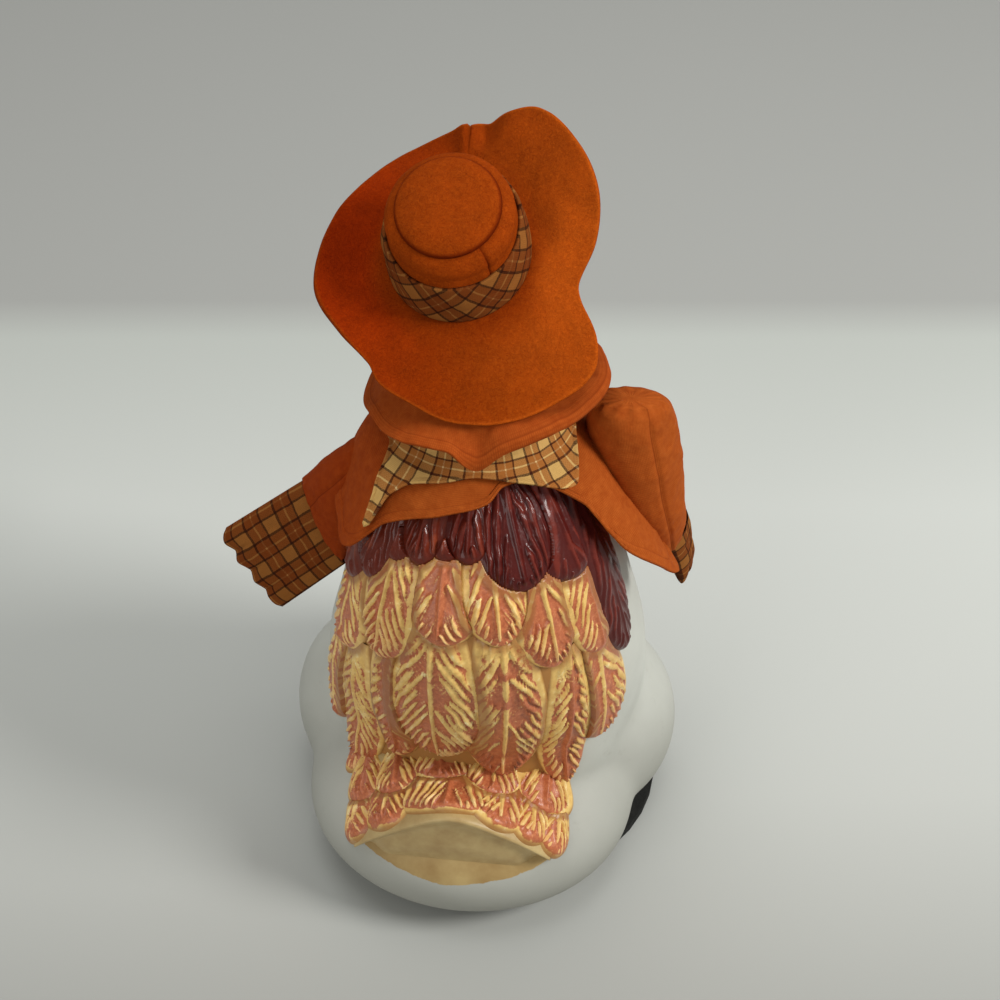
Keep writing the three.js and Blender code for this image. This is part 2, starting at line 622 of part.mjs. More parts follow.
// Feathers on the tail. A row is a feather: its tip's place across and along the tail, then its
// half width and length, all shares of the tail's half width and length.
function tailTier(shares, grow) {
  const tailLength = TAIL_TIP_Y - TAIL_ROOT_Y;
  const made = shares.map(([across0, tip, wide, long]) => {
    const place = (across, along, lift) => {
      const v = tip - along / tailLength;
      return tailTop(across0 + across / TAIL_HALF_WIDTH, v, lift);
    };
    return featherSolid(place, TAIL_HALF_WIDTH * wide, tailLength * long, grow);
  });
  return wasm.Manifold.union(made);
}
const TAIL_ROOT_SHARES = [
  [0.85, 0.62, 0.207, 0.415],
  [0.58, 0.66, 0.24, 0.462],
  [0.14, 0.55, 0.383, 0.415],
  [-0.3, 0.68, 0.3, 0.485],
  [-0.78, 0.66, 0.283, 0.462],
];
const TAIL_TIP_SHARES = [
  [0.9, 1.02, 0.167, 0.715],
  [0.6, 1.04, 0.25, 0.715],
  [0.08, 1, 0.533, 0.646],
  [-0.42, 1.05, 0.283, 0.715],
  [-0.7, 1.04, 0.2, 0.715],
  [-0.92, 1, 0.15, 0.692],
];

// Coat. Its hem arches up over the middle of the back and hangs lower at the sides.
// Each row is a turn, then the hem's height as a share of the body's, then its flare's share.
const COAT_HEM_SHARES = [
  [-180, 0.64, 0],
  [-130, 0.67, 0],
  [-110, 0.7, 0.15],
  [-97, 0.66, 0.6],
  [-87, 0.64, 1],
  [-76, 0.71, 0.7],
  [-67, 0.77, 0.3],
  [-60, 0.86, 0.05],
  [-41, 0.918, 0],
  [-22, 0.922, 0],
  [-12, 0.9, 0],
  [10, 0.88, 0],
  [38, 0.842, 0],
  [49, 0.785, 0],
  [58, 0.77, 0],
  [75, 0.79, 0],
  [90, 0.79, 0],
  [110, 0.74, 0],
  [140, 0.67, 0],
  [180, 0.64, 0],
];
const around = (s) => 360 * s - 180;
const coatRest = (drop) => lerp(COAT_NECK_CLEARANCE, COAT_CLEARANCE, smooth(0, 0.1, drop));
function coatFace(s, v) {
  const turn = around(s);
  const t = lerp(COAT_NECK_SHARE, share(COAT_HEM_SHARES, 1, turn), v);
  const drop = COAT_NECK_SHARE - t;
  const pleat = COAT_PLEAT * Math.sin(COAT_PLEAT_COUNT * turn * RAD) * smooth(0, 0.25, drop);
  const flare = COAT_FLARE * share(COAT_HEM_SHARES, 2, turn) * v ** 1.5;
  return { turn, z: BODY_FOOT + t * BODY_HEIGHT, lift: coatRest(drop) + pleat + flare };
}
const towardsHem = (v) => v ** 1.4;
function coatSolid(grow) {
  const layer = (offset) => (s, v) => {
    const { turn, z, lift } = coatFace(s, v);
    return overBody(turn, z, lift + offset);
  };
  return shell(layer(-grow), layer(COTTON + grow), COAT_SIDES, 4, true, towardsHem);
}

// Everything inside the coat's outer face and just past its hem, to cut what lies against it.
const PAST_HEM_SHARE = 0.05;
function coatFilled(grow) {
  const rows = [...[0, 1, 2, 3, 4].map((j) => towardsHem(j / 4)), 1 + PAST_HEM_SHARE];
  const inside = loft(
    rows.map((v) =>
      Array.from({ length: COAT_SIDES }, (_, i) => {
        const { turn, z, lift } = coatFace(1 - i / COAT_SIDES, v);
        return overBody(turn, z, lift + COTTON + grow);
      }),
    ),
  );
  return inside.add(coatSolid(grow));
}

// Plaid collar: square across the back, lying on the coat. Rows are turn and hem height.
const PLAID_HEM_SHARES = [
  [-180, 0.9],
  [-120, 0.92],
  [-75, 0.945],
  [-66, 0.935],
  [-58, 0.893],
  [-34, 0.922],
  [-8, 0.938],
  [13, 0.925],
  [36, 0.908],
  [44, 0.885],
  [52, 0.935],
  [62, 0.945],
  [120, 0.92],
  [180, 0.9],
];
function plaidCollarSolid() {
  const top = COAT_NECK_SHARE - PLAID_COLLAR_DROP_SHARE;
  const layer = (offset) => (s, v) => {
    const turn = around(s);
    const t = lerp(top, share(PLAID_HEM_SHARES, 1, turn), v);
    const rest = coatRest(COAT_NECK_SHARE - t) + COTTON + COAT_PLEAT + 2 * FIT;
    return overBody(turn, BODY_FOOT + t * BODY_HEIGHT, rest + offset);
  };
  return shell(layer(0), layer(COTTON), COAT_SIDES, 2, true);
}

// Neck ruff: it stands up from the neck and flares out, dipping to a point at the back.
const RUFF_RIM_SHARES = [
  [-180, 0.66, 0.6],
  [-120, 0.88, 1.0],
  [-95, 0.97, 1.2],
  [-75, 1.04, 1.3],
  [-60, 1.02, 1.18],
  [-35, 1, 1.05],
  [-14, 0.99, 0.75],
  [-2, 1, 0.15],
  [12, 0.97, 0.35],
  [31, 0.97, 0.55],
  [60, 0.9, 0.3],
  [85, 0.88, 0.05],
  [130, 0.8, 0.5],
  [180, 0.66, 0.6],
];
function ruffSolid() {
  const rootZ = BODY_FOOT + BODY_HEIGHT * (COAT_NECK_SHARE + RUFF_ROOT_RISE_SHARE);
  const at = (s, v, offset) => {
    const turn = around(s);
    const foot = overBody(turn, rootZ, RUFF_ROOT_CLEARANCE);
    const radius = RUFF_RIM_RADIUS * share(RUFF_RIM_SHARES, 1, turn);
    const height = RUFF_HEIGHT * share(RUFF_RIM_SHARES, 2, turn);
    const [side, back] = [Math.sin(turn * RAD), Math.cos(turn * RAD)];
    const rim = V(radius * side, neckY - RUFF_FORWARD + radius * back, rootZ + height);
    const p = foot.clone().lerp(rim, v);
    p.z += RUFF_HEIGHT * 0.2 * Math.sin(Math.PI * v);
    return p.add(V(0, 0, offset));
  };
  return shell((s, v) => at(s, v, 0), (s, v) => at(s, v, COTTON * 1.2), 44, 3, true);
}

// A sleeve, stuffed and seamed, through its stations.
const point = ([x, y, z]) => V(x * BODY_HALF_WIDTH, y * BODY_HALF_DEPTH, z * BODY_HEIGHT);
function sleeveForm(stations, facing, sides) {
  return loft(
    stations.map(([outer, inner, depth]) => {
      const centre = point(outer).add(point(inner)).multiplyScalar(0.5);
      const half = point(outer).sub(point(inner)).multiplyScalar(0.5);
      return ellipse(centre, half, facing.clone().multiplyScalar(depth * BODY_HALF_DEPTH), sides);
    }),
  );
}

// A sleeve is cut clear of the coat and the body at every angle that it swings through.
const shoulderZ = BODY_FOOT + SHOULDER_SHARE * BODY_HEIGHT;
const shoulder = (side) => overBody(side * 90, shoulderZ, COAT_CLEARANCE + COTTON);
function clearOf(form, side, back, forward, obstacle) {
  const pivot = shoulder(side);
  const count = Math.round((back + forward) / SWING_STEP_TURN);
  const steps = Array.from({ length: count + 1 }, (_, i) => lerp(-back, forward, i / count));
  return steps.reduce((left, degrees) => {
    const turned = obstacle
      .translate([-pivot.x, -pivot.y, -pivot.z])
      .rotate([degrees, 0, 0])
      .translate([pivot.x, pivot.y, pivot.z]);
    return left.subtract(turned);
  }, form);
}

// A flat stuffed mitt with scalloped fingers, between the edges of its cuff and its tip.
function mittForm({ cuff, tip }, thickness) {
  const [a, b, c, d] = [...cuff, ...tip].map(point);
  const facing = c.clone().sub(a).cross(b.clone().sub(a)).normalize();
  const layer = (way) => (s, v) => {
    const finger = Math.abs(Math.sin(MITT_FINGER_COUNT * Math.PI * s));
    const reach = v * (1 - MITT_SCALLOP_SHARE * (1 - finger) * v);
    const place = a.clone().lerp(b, s).lerp(c.clone().lerp(d, s), reach);
    const across = Math.sqrt(Math.max(0, 1 - (2 * s - 1) ** 2));
    const ends = Math.sqrt(Math.max(0, 1 - v ** 4));
    const quilted = 1 - 0.3 * (1 - finger) * smooth(0.3, 0.8, v);
    return place.addScaledVector(facing, (way * thickness * across * ends * quilted) / 2);
  };
  return shell(layer(-1), layer(1), 3 * MITT_FINGER_COUNT, 6, false, (v) => 1 - (1 - v) ** 1.3);
}

// Hat pieces, in the hat's own frame.
const hat = new THREE.Group();
hat.name = 'hat';
hat.rotation.order = 'YXZ';
hat.rotation.set(-HAT_BACK_TURN * RAD, HAT_LEFT_TURN * RAD, 0);
hat.position.set(
  HEAD_LEFT * HAT_LEFT_SHARE,
  neckY - HEAD_FORWARD * HAT_FORWARD_SHARE,
  BODY_TOP + HEAD_HEIGHT * HAT_HEIGHT_SHARE,
);

// Brim outline round the crown, from its lowest point at the back towards the duck's left:
// angle, then shares of the brim's radius and of its wave.
const BRIM_SHARES = [
  [-180, 0.95, 0],
  [-167, 1.03, 0.5],
  [-154, 1.15, 0.85],
  [-135, 1.1, 1],
  [-114, 1.03, 0.8],
  [-96, 0.94, 0.2],
  [-79, 0.85, -0.2],
  [-69, 0.92, -0.25],
  [-59, 1.14, -0.3],
  [-50, 1.25, -0.6],
  [-33, 1.23, -0.9],
  [-17, 1.21, -0.9],
  [0, 1.16, -0.8],
  [14, 1.09, -0.5],
  [28, 1.05, -0.2],
  [36, 0.98, 0],
  [52, 0.98, 0.5],
  [70, 1.01, 0.95],
  [87, 0.95, 0.95],
  [105, 0.91, 0.6],
  [130, 0.9, -0.4],
  [159, 0.91, -0.6],
  [180, 0.95, 0],
];
function brimSolid() {
  const inner = CROWN_RADIUS - FELT;
  const at = (s, v, offset) => {
    const angle = around(s);
    const rim = BRIM_RADIUS * share(BRIM_SHARES, 1, angle);
    const outside = Math.max(0, (v - BRIM_FLAT_SHARE) / (1 - BRIM_FLAT_SHARE));
    const wave = BRIM_WAVE * share(BRIM_SHARES, 2, angle) * outside ** 1.4;
    const r = lerp(inner, rim, v);
    return V(r * Math.sin(angle * RAD), r * Math.cos(angle * RAD), wave + offset);
  };
  const rings = (v) => (v <= 0.25 ? BRIM_FLAT_SHARE * v * 4 : lerp(BRIM_FLAT_SHARE, 1, (v * 4 - 1) / 3));
  return shell((s, v) => at(s, v, -FELT - FIT), (s, v) => at(s, v, -FIT), 44, 4, true, rings);
}

// The crown: straight to a round shoulder, then in to the seam of its tip, leaning forward.
const seamHeight = CROWN_HEIGHT * 0.84;
const crownRadius = (h) => lerp(CROWN_RADIUS, CROWN_TIP_RADIUS, (h / seamHeight) ** 4);
function crownPoint(s, h, r) {
  const angle = 2 * Math.PI * s;
  return V(r * Math.sin(angle), r * Math.cos(angle) - (CROWN_LEAN * h) / seamHeight, h);
}
function crownTube(top, gap, thickness, rows) {
  const at = (s, v, inset) => crownPoint(s, top * v, crownRadius(top * v) + gap - inset);
  return shell((s, v) => at(s, v, thickness), (s, v) => at(s, v, 0), 28, rows, true);
}
const crownSideSolid = () => crownTube(seamHeight, 0, FELT, 5);
const bandSolid = () => crownTube(BAND_WIDTH, FIT + COTTON, COTTON, 2);
function crownTipSolid() {
  const foot = seamHeight + FIT;
  const rise = CROWN_HEIGHT - foot;
  const domeShares = [
    [1, 0],
    [0.97, 0.3],
    [0.8, 0.62],
    [0.52, 0.86],
    [0.2, 0.99],
  ];
  return loft(
    domeShares.map(([wide, high]) =>
      Array.from({ length: 28 }, (_, i) => {
        const p = crownPoint(-i / 28, seamHeight, CROWN_TIP_RADIUS * wide);
        return p.setZ(foot + rise * high);
      }),
    ),
  );
}

// Assembly.
addPiece(root, 'base_pad', padSolid(), darkFelt);
addPiece(root, 'body_casting', bodySolid(), whiteClay);
addPiece(root, 'head', headSolid(), whiteClay);
addPiece(root, 'bill_upper', billSolid(true), billClay);
addPiece(root, 'bill_lower', billSolid(false), billClay);
addPiece(root, 'eye_left', eyeSolid(1), eyeGlaze);
addPiece(root, 'eye_right', eyeSolid(-1), eyeGlaze);
addPiece(root, 'foot_left', footSolid(1), billClay);
addPiece(root, 'foot_right', footSolid(-1), billClay);

const capeCut = backTier(CAPE_SHARES, FIT);
const upperCut = backTier(UPPER_SHARES, FIT);
const lowerCut = backTier(LOWER_SHARES, FIT);
const bodyCut = bodyForm(FIT / 2);
addPiece(root, 'cape_feathers', largest(backTier(CAPE_SHARES, 0).subtract(bodyCut)), maroonGlaze);
addPiece(root, 'upper_feathers', largest(backTier(UPPER_SHARES, 0).subtract(capeCut).subtract(bodyCut)), creamClay);
const lowerTier = backTier(LOWER_SHARES, 0).subtract(upperCut).subtract(capeCut).subtract(bodyCut);
addPiece(root, 'lower_feathers', largest(lowerTier), creamClay);
const tailRootTier = tailTier(TAIL_ROOT_SHARES, 0).subtract(lowerCut).subtract(bodyCut);
addPiece(root, 'tail_root_feathers', largest(tailRootTier), creamClay);
const tailRootCut = tailTier(TAIL_ROOT_SHARES, FIT);
const tailTipTier = tailTier(TAIL_TIP_SHARES, 0).subtract(tailRootCut).subtract(bodyCut);
addPiece(root, 'tail_tip_feathers', largest(tailTipTier.subtract(lowerCut)), creamClay);
addPiece(root, 'tail', largest(tailSolid().subtract(lowerCut)), creamClay);

addPiece(root, 'coat', coatSolid(0), orangeCotton);
addPiece(root, 'plaid_collar', plaidCollarSolid(), plaidCotton);
addPiece(root, 'neck_ruff', ruffSolid(), orangeCotton);

// Arms. The left one hangs out from the shoulder, the right one hangs down and forward.
const leftFacing = V(0.1, 0.96, 0.25).normalize();
const rightFacing = V(-0.1, 0.99, 0.1).normalize();
const coatCut = coatFilled(FIT);
function addArm(names, side, stations, facing, mitt, back) {
  let sleeve = sleeveForm(stations, facing, 14);
  let hand = mittForm(mitt, MITT_THICKNESS);
  for (const obstacle of [coatCut, bodyForm(2 * FIT), capeCut]) {
    sleeve = clearOf(sleeve, side, back, ARM_FORWARD_TURN, obstacle);
    hand = clearOf(hand, side, back, ARM_FORWARD_TURN, obstacle);
  }
  addPiece(root, names[0], largest(sleeve), orangeCotton);
  addPiece(root, names[1], largest(hand), plaidCotton);
}
addArm(['sleeve_left', 'mitt_left'], 1, LEFT_SLEEVE_SHARES, leftFacing, LEFT_MITT_SHARES, LEFT_ARM_BACK_TURN);
addArm(['sleeve_right', 'mitt_right'], -1, RIGHT_SLEEVE_SHARES, rightFacing, RIGHT_MITT_SHARES, 0);

root.add(hat);
addPiece(hat, 'hat_brim', brimSolid(), orangeFelt);
addPiece(hat, 'hat_crown_side', crownSideSolid(), orangeFelt);
addPiece(hat, 'hat_crown_tip', crownTipSolid(), orangeFelt);
addPiece(hat, 'hat_band', bandSolid(), plaidCotton);

export default root;
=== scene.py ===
import math

import bpy
import numpy as np
from mathutils import Matrix, Vector


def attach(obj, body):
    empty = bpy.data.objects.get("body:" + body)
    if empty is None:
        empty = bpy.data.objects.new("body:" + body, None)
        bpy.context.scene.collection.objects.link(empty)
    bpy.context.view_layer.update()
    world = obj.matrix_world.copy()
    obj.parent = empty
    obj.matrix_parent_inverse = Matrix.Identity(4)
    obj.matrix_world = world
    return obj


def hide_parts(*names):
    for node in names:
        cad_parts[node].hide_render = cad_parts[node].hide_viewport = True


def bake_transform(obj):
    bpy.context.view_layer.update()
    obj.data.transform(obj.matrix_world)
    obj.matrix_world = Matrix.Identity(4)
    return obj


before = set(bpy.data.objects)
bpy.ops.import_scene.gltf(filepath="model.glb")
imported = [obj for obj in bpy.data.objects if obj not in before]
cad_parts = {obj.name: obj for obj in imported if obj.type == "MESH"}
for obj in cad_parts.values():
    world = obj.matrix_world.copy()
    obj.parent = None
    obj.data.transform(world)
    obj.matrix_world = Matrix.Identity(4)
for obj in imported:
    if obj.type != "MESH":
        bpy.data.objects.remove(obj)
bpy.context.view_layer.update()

MM = 0.001
RNG = np.random.default_rng(7)

# Casting.
PAD_THICKNESS, FIT = 2.6, 0.3
BODY_HEIGHT, HALF_WIDTH, HALF_DEPTH = 151.5, 48.0, 52.0
BODY_LEAN, BODY_SWAY, BODY_WALL = 10.0, 1.4, 4.5
POUR_RADIUS, NECK_RADIUS = 14.0, 9.0
FOOT = PAD_THICKNESS + FIT
TOP = FOOT + BODY_HEIGHT
LOBE_BLEND = 20
# Shares of height, lean back, half width, half depth behind, half depth in front and sway.
BODY_SHARES = [
    [0, 0, 0.8, 0.8, 0.85, 0], [0.065, 0, 0.86, 0.82, 0.96, 0], [0.16, 0, 0.88, 0.82, 1.02, 0.1],
    [0.27, 0.1, 0.91, 0.76, 1, 0.2], [0.36, 0.3, 0.92, 0.72, 0.96, 0.5],
    [0.45, 0.5, 0.895, 0.78, 0.91, 0.8], [0.55, 0.7, 0.82, 0.81, 0.86, 1], [0.65, 0.9, 0.75, 0.79, 0.8, 1],
    [0.74, 1, 0.695, 0.71, 0.71, 0.7], [0.825, 1, 0.61, 0.575, 0.585, 0.3],
    [0.89, 0.95, 0.515, 0.445, 0.46, 0], [0.945, 0.9, 0.42, 0.355, 0.37, 0], [1, 0.8, 0.36, 0.31, 0.32, 0],
]
# Rump and thighs: middle and reach along x, y and z, shares of half width, depth and height.
LOBE_SHARES = [
    [0.035, 0.4, 0.125, 0.96, 0.75, 0.17], [0.7, -0.096, 0.172, 0.475, 0.5, 0.185],
    [-0.665, -0.096, 0.172, 0.475, 0.5, 0.185],
]
# Cream paint on the body behind the feathers: share of height, middle turn, half width in degrees.
PAINT_SHARES = [
    [0.108, 5, -30], [0.142, 3, 8], [0.168, 3, 30], [0.2, 3, 33], [0.3, 3, 40], [0.42, 3, 54],
    [0.55, 2, 60], [0.66, 0, 60], [0.8, -3, 64], [0.9, -3, 40],
]
PAINT_EDGE = 14

# Head.
HEAD_HEIGHT, HEAD_HALF_WIDTH, HEAD_FORWARD, HEAD_LEFT = 40.6, 18.5, 17.0, 5.0
# Share of height, forward, half width and half depth.
HEAD_SHARES = [
    [0, 0, 0.76, 0.76], [0.12, 0.1, 0.74, 0.76], [0.26, 0.4, 0.86, 0.9], [0.42, 0.75, 1, 1.05],
    [0.58, 0.95, 1.02, 1.08], [0.74, 1, 0.95, 1], [0.87, 1, 0.74, 0.78], [0.96, 1, 0.42, 0.45],
    [1, 1, 0.16, 0.17],
]
BILL_LENGTH, BILL_HALF_WIDTH, BILL_THICKNESS, BILL_HEIGHT_SHARE = 24.0, 10.5, 5.5, 0.44
# Place along the bill, half width and rise.
UPPER_BILL_SHARES = [
    [-0.05, 0.73, 1.45], [0.1, 0.74, 1.36], [0.35, 0.8, 1.08], [0.6, 0.93, 0.8], [0.82, 1, 0.6],
    [1, 0.86, 0.55],
]
LOWER_BILL_SHARES = [
    [-0.05, 0.66, 0.6], [0.35, 0.7, 0.5], [0.82, 0.88, 0.4], [0.93, 0.76, 0.36],
]
EYE_RADIUS, EYE_HEIGHT_SHARE, EYE_TURN = 3.2, 0.62, 128
FOOT_LENGTH, FOOT_HALF_WIDTH, FOOT_THICKNESS, FOOT_SPREAD, FOOT_TURN = 25.0, 12.0, 6.0, 19.0, 12.0
HEEL_Y, SOLE_Z, TOE_PLACES, WEB_PLACES = -46.0, 0.05, (-0.64, 0, 0.64), (-0.32, 0.32)

# Feathers: turn, tip's height, half width and length, as shares.
FEATHER_THICKNESS = 3.0
FEATHER_HALF_WIDTH = HALF_WIDTH * 0.208
FEATHER_LENGTH = BODY_HEIGHT * 0.198
WIDEST_SHARE, ROOT_SHARE = 0.6, 0.55
CAPE_SHARES = [
    [59, 0.69, 0.75, 0.95], [45, 0.735, 0.72, 0.9], [33, 0.79, 0.68, 0.7], [21, 0.8, 0.66, 0.62],
    [9, 0.815, 0.66, 0.55], [-2, 0.815, 0.64, 0.52], [-12, 0.83, 0.66, 0.5], [-25, 0.77, 1.05, 0.75],
    [-50, 0.755, 1.1, 0.8], [-68, 0.53, 0.85, 1.9],
]
UPPER_SHARES = [
    [57, 0.53, 1.05, 1.1], [32, 0.605, 0.95, 1.3], [8, 0.685, 1.1, 1.05], [-13, 0.69, 0.9, 1],
    [-32, 0.62, 0.95, 1.25], [-53, 0.59, 0.9, 1.3],
]
LOWER_SHARES = [
    [62, 0.28, 0.75, 1.6], [47, 0.212, 0.88, 1.92], [29, 0.306, 0.85, 1.85], [11, 0.35, 1.35, 1.95],
    [-14, 0.303, 1.2, 2.1], [-38, 0.25, 0.8, 2.0], [-52, 0.35, 1.15, 1.5],
]

# Tail.
TAIL_HALF_WIDTH, TAIL_LEFT = HALF_WIDTH * 0.625, 2.2
TAIL_ROOT_Y, TAIL_TIP_Y, TAIL_TOP_Z = HALF_DEPTH * 0.596, HALF_DEPTH * 1.096, BODY_HEIGHT * 0.34
TAIL_DROOP, TAIL_FALL, TAIL_CORNER_BACK, TAIL_EDGE, TAIL_TILT, TAIL_ARCH = 18.0, 4.5, 4.0, 5.0, 1.8, 3.0
TAIL_UNDER_Y, TAIL_UNDER_Z = HALF_DEPTH, BODY_HEIGHT * 0.139
TAIL_LENGTH = TAIL_TIP_Y - TAIL_ROOT_Y
# Feathers on it: place across and along it, half width and length, as shares of the tail.
TAIL_ROOT_SHARES = [
    [0.85, 0.62, 0.207, 0.62], [0.55, 0.66, 0.25, 0.66], [0.14, 0.55, 0.35, 0.6], [-0.32, 0.66, 0.3, 0.68],
    [-0.78, 0.64, 0.283, 0.66],
]
TAIL_TIP_SHARES = [
    [0.9, 1.0, 0.167, 0.715], [0.6, 1.0, 0.25, 0.7], [0.04, 0.95, 0.533, 0.62], [-0.42, 1.0, 0.283, 0.7],
    [-0.7, 1.0, 0.2, 0.7], [-0.92, 1.0, 0.15, 0.692],
]

# Coat, collar and ruff.
COTTON, COAT_GIRTH_RADIUS, COLLAR_GIRTH_RADIUS = 0.8, 30.0, 26.0
COAT_NECK_SHARE, COAT_NECK_CLEARANCE, COAT_CLEARANCE = 0.982, 0.4, 4.6
COAT_FLARE, COAT_PLEAT, COAT_PLEATS = 9.0, 0.5, 9
# Turn, height of the hem and flare.
COAT_HEM_SHARES = [
    [-180, 0.64, 0], [-130, 0.67, 0], [-110, 0.7, 0.15], [-97, 0.66, 0.6], [-87, 0.64, 1], [-76, 0.71, 0.7],
    [-67, 0.77, 0.3], [-60, 0.86, 0.05], [-41, 0.918, 0], [-22, 0.922, 0], [-12, 0.9, 0], [10, 0.88, 0],
    [38, 0.842, 0], [49, 0.785, 0], [58, 0.77, 0], [75, 0.79, 0], [90, 0.79, 0], [110, 0.74, 0],
    [140, 0.67, 0], [180, 0.64, 0],
]
COLLAR_DROP_SHARE, COLLAR_SLOPE = 0.008, 1.25
# Turn and height of the hem.
COLLAR_HEM_SHARES = [
    [-180, 0.9], [-120, 0.92], [-90, 0.95], [-76, 0.932], [-66, 0.912], [-58, 0.893], [-34, 0.922],
    [-8, 0.938], [13, 0.925], [30, 0.91], [37.5, 0.886], [40, 0.866], [42, 0.834], [44.5, 0.834],
    [46.5, 0.87], [51, 0.92], [60, 0.945], [120, 0.92], [180, 0.9],
]
RUFF_FORWARD, RUFF_WIDTH = 2.0, 14
RUFF_RIM_RADIUS, RUFF_HEIGHT, RUFF_STAND, RUFF_ROLL = 30.5, 11.0, 13.0, 1.5
# Turn, radius and height of the rim.
RUFF_RIM_SHARES = [
    [-180, 0.66, 0.6], [-120, 0.88, 1.0], [-95, 0.97, 1.2], [-75, 1.04, 1.3], [-60, 1.02, 1.18],
    [-35, 1, 1.05], [-18, 0.98, 0.85], [-7, 0.97, 0.4], [8, 0.95, 0.6], [31, 0.97, 0.55], [60, 0.9, 0.3],
    [85, 0.88, 0.05], [130, 0.8, 0.5], [180, 0.66, 0.6],
]

# Sleeves: outer edge, inner edge and half depth of each station. Mitts: corners of cuff and tip.
LEFT_SLEEVE_SHARES = [
    [[0.543, 0.172, 0.931], [0.625, 0.192, 0.779], 0.154],
    [[0.707, 0.184, 0.888], [0.666, 0.201, 0.719], 0.172],
    [[0.855, 0.146, 0.838], [0.707, 0.201, 0.673], 0.154],
    [[0.985, 0.082, 0.776], [0.757, 0.207, 0.632], 0.096],
]
LEFT_MITT_SHARES = [[0.745, 0.213, 0.624], [0.978, 0.076, 0.77], [1.143, 0.262, 0.509], [1.515, 0.128, 0.634]]
RIGHT_SLEEVE_SHARES = [
    [[-0.925, 0.117, 1.02], [-0.6, 0.131, 1.018], 0.09],
    [[-0.965, 0.105, 1.007], [-0.555, 0.128, 1.001], 0.15],
    [[-0.99, 0.076, 0.979], [-0.543, 0.117, 0.95], 0.2],
    [[-1.026, 0.038, 0.914], [-0.584, 0.076, 0.865], 0.23],
    [[-1.067, -0.02, 0.815], [-0.666, 0.02, 0.772], 0.242],
    [[-1.089, -0.096, 0.723], [-0.765, -0.076, 0.68], 0.22],
    [[-1.083, -0.172, 0.66], [-0.84, -0.154, 0.622], 0.2],
]
RIGHT_MITT_SHARES = [
    [-1.013, -0.058, 0.651], [-1.064, -0.364, 0.651], [-1.108, -0.154, 0.52], [-1.13, -0.422, 0.525],
]
LEFT_FACING, RIGHT_FACING = (0.1, 0.96, 0.25), (-0.1, 0.99, 0.1)
# Rings along a sleeve, a ring whose middle is read but not used, points around, length and radius.
SLEEVE_RINGS, SLEEVE_BENT, SLEEVE_AROUND, SLEEVE_LENGTH, SLEEVE_RADIUS = 90, 52, 144, 55, 12.0
SLEEVE_SEAM, SLEEVE_GATHERS, SLEEVE_CUFF = 62, 14, ((0.93, 0.1), (0.86, 1.0), (0.8, 4.0))
MITT_THICKNESS, MITT_FINGERS = 6.4, 4
# Place across a mitt and how far it reaches there.
MITT_REACH_SHARES = [
    [0, 0.95], [0.06, 0.995], [0.16, 1], [0.26, 0.955], [0.38, 1], [0.5, 0.95], [0.64, 1], [0.75, 0.94],
    [0.87, 0.975], [0.95, 0.93], [1, 0.86],
]

# Hat, in its own frame with its origin where the crown meets the brim.
FELT = 1.5
CROWN_RADIUS = HEAD_HALF_WIDTH * 0.881
CROWN_HEIGHT, CROWN_TIP_RADIUS, CROWN_LEAN = 21.0, CROWN_RADIUS * 0.755, 3.6
SEAM_HEIGHT, CROWN_SEAM = CROWN_HEIGHT * 0.84, math.radians(320)
BAND_WIDTH, BRIM_RADIUS, BRIM_FLAT, BRIM_WAVE = 12.0, 34.0, 0.18, 5.5
HAT_BACK_TURN, HAT_LEFT_TURN = 34, 4
# Angle, radius and wave.
BRIM_SHARES = [
    [-180, 0.95, 0], [-167, 1.03, 0.5], [-154, 1.15, 0.85], [-135, 1.1, 1], [-114, 1.03, 0.8],
    [-96, 0.94, 0.2], [-79, 0.85, -0.2], [-69, 0.92, -0.25], [-59, 1.14, -0.3], [-50, 1.25, -0.6],
    [-33, 1.23, -0.9], [-17, 1.21, -0.9], [0, 1.16, -0.8], [14, 1.09, -0.5], [28, 1.05, -0.2],
    [36, 0.98, 0], [52, 0.98, 0.5], [70, 1.01, 0.95], [87, 0.95, 0.95], [105, 0.91, 0.6], [130, 0.9, -0.4],
    [159, 0.91, -0.6], [180, 0.95, 0],
]
BAND_BIAS = math.radians(38)
WEAVE_PITCH, PLAID_PITCH, PLAID_REPEAT = 0.42, 0.4, 9.0

# Camera, as the photograph was taken: from behind and above.
TARGET, DISTANCE, AZIMUTH, ELEVATION, LENS = (-5, 8, 119), 460.0, 187.5, 42.0, 64.8
azimuth, elevation = math.radians(AZIMUTH), math.radians(ELEVATION)
level, height = math.cos(elevation), math.sin(elevation)
towards_camera = Vector((math.sin(azimuth) * level, -math.cos(azimuth) * level, height))
camera = bpy.data.objects.new("camera", bpy.data.cameras.new("camera"))
camera.data.lens, camera.data.sensor_width = LENS, 36
camera.location = (Vector(TARGET) + DISTANCE * towards_camera) * MM
camera.rotation_euler = towards_camera.to_track_quat("Z", "Y").to_euler()
bpy.context.scene.collection.objects.link(camera)
bpy.context.scene.camera = camera


# Numbers.
def lerp(a, b, t):
    return a + (b - a) * t


def smooth(low, high, t):
    f = np.clip((t - low) / (high - low), 0, 1)
    return f * f * (3 - 2 * f)


def bell(x, width):
    return np.exp(-((x / width) ** 2))


def safe_sqrt(x):
    return np.sqrt(np.maximum(x, 0))


def compass(turn):
    """How far to the side and to the back a turn points."""
    return np.sin(np.radians(turn)), np.cos(np.radians(turn))


def circle(count):
    return np.linspace(0, 2 * np.pi, count, endpoint=False)


def hermite(f, a, b, leaving, arriving):
    """A smooth way from a to b at a share f, with the slopes that it leaves and arrives with."""
    f2, f3 = f * f, f * f * f
    return (a * (2 * f3 - 3 * f2 + 1) + b * (3 * f2 - 2 * f3)
            + leaving * (f3 - 2 * f2 + f) + arriving * (f3 - f2))


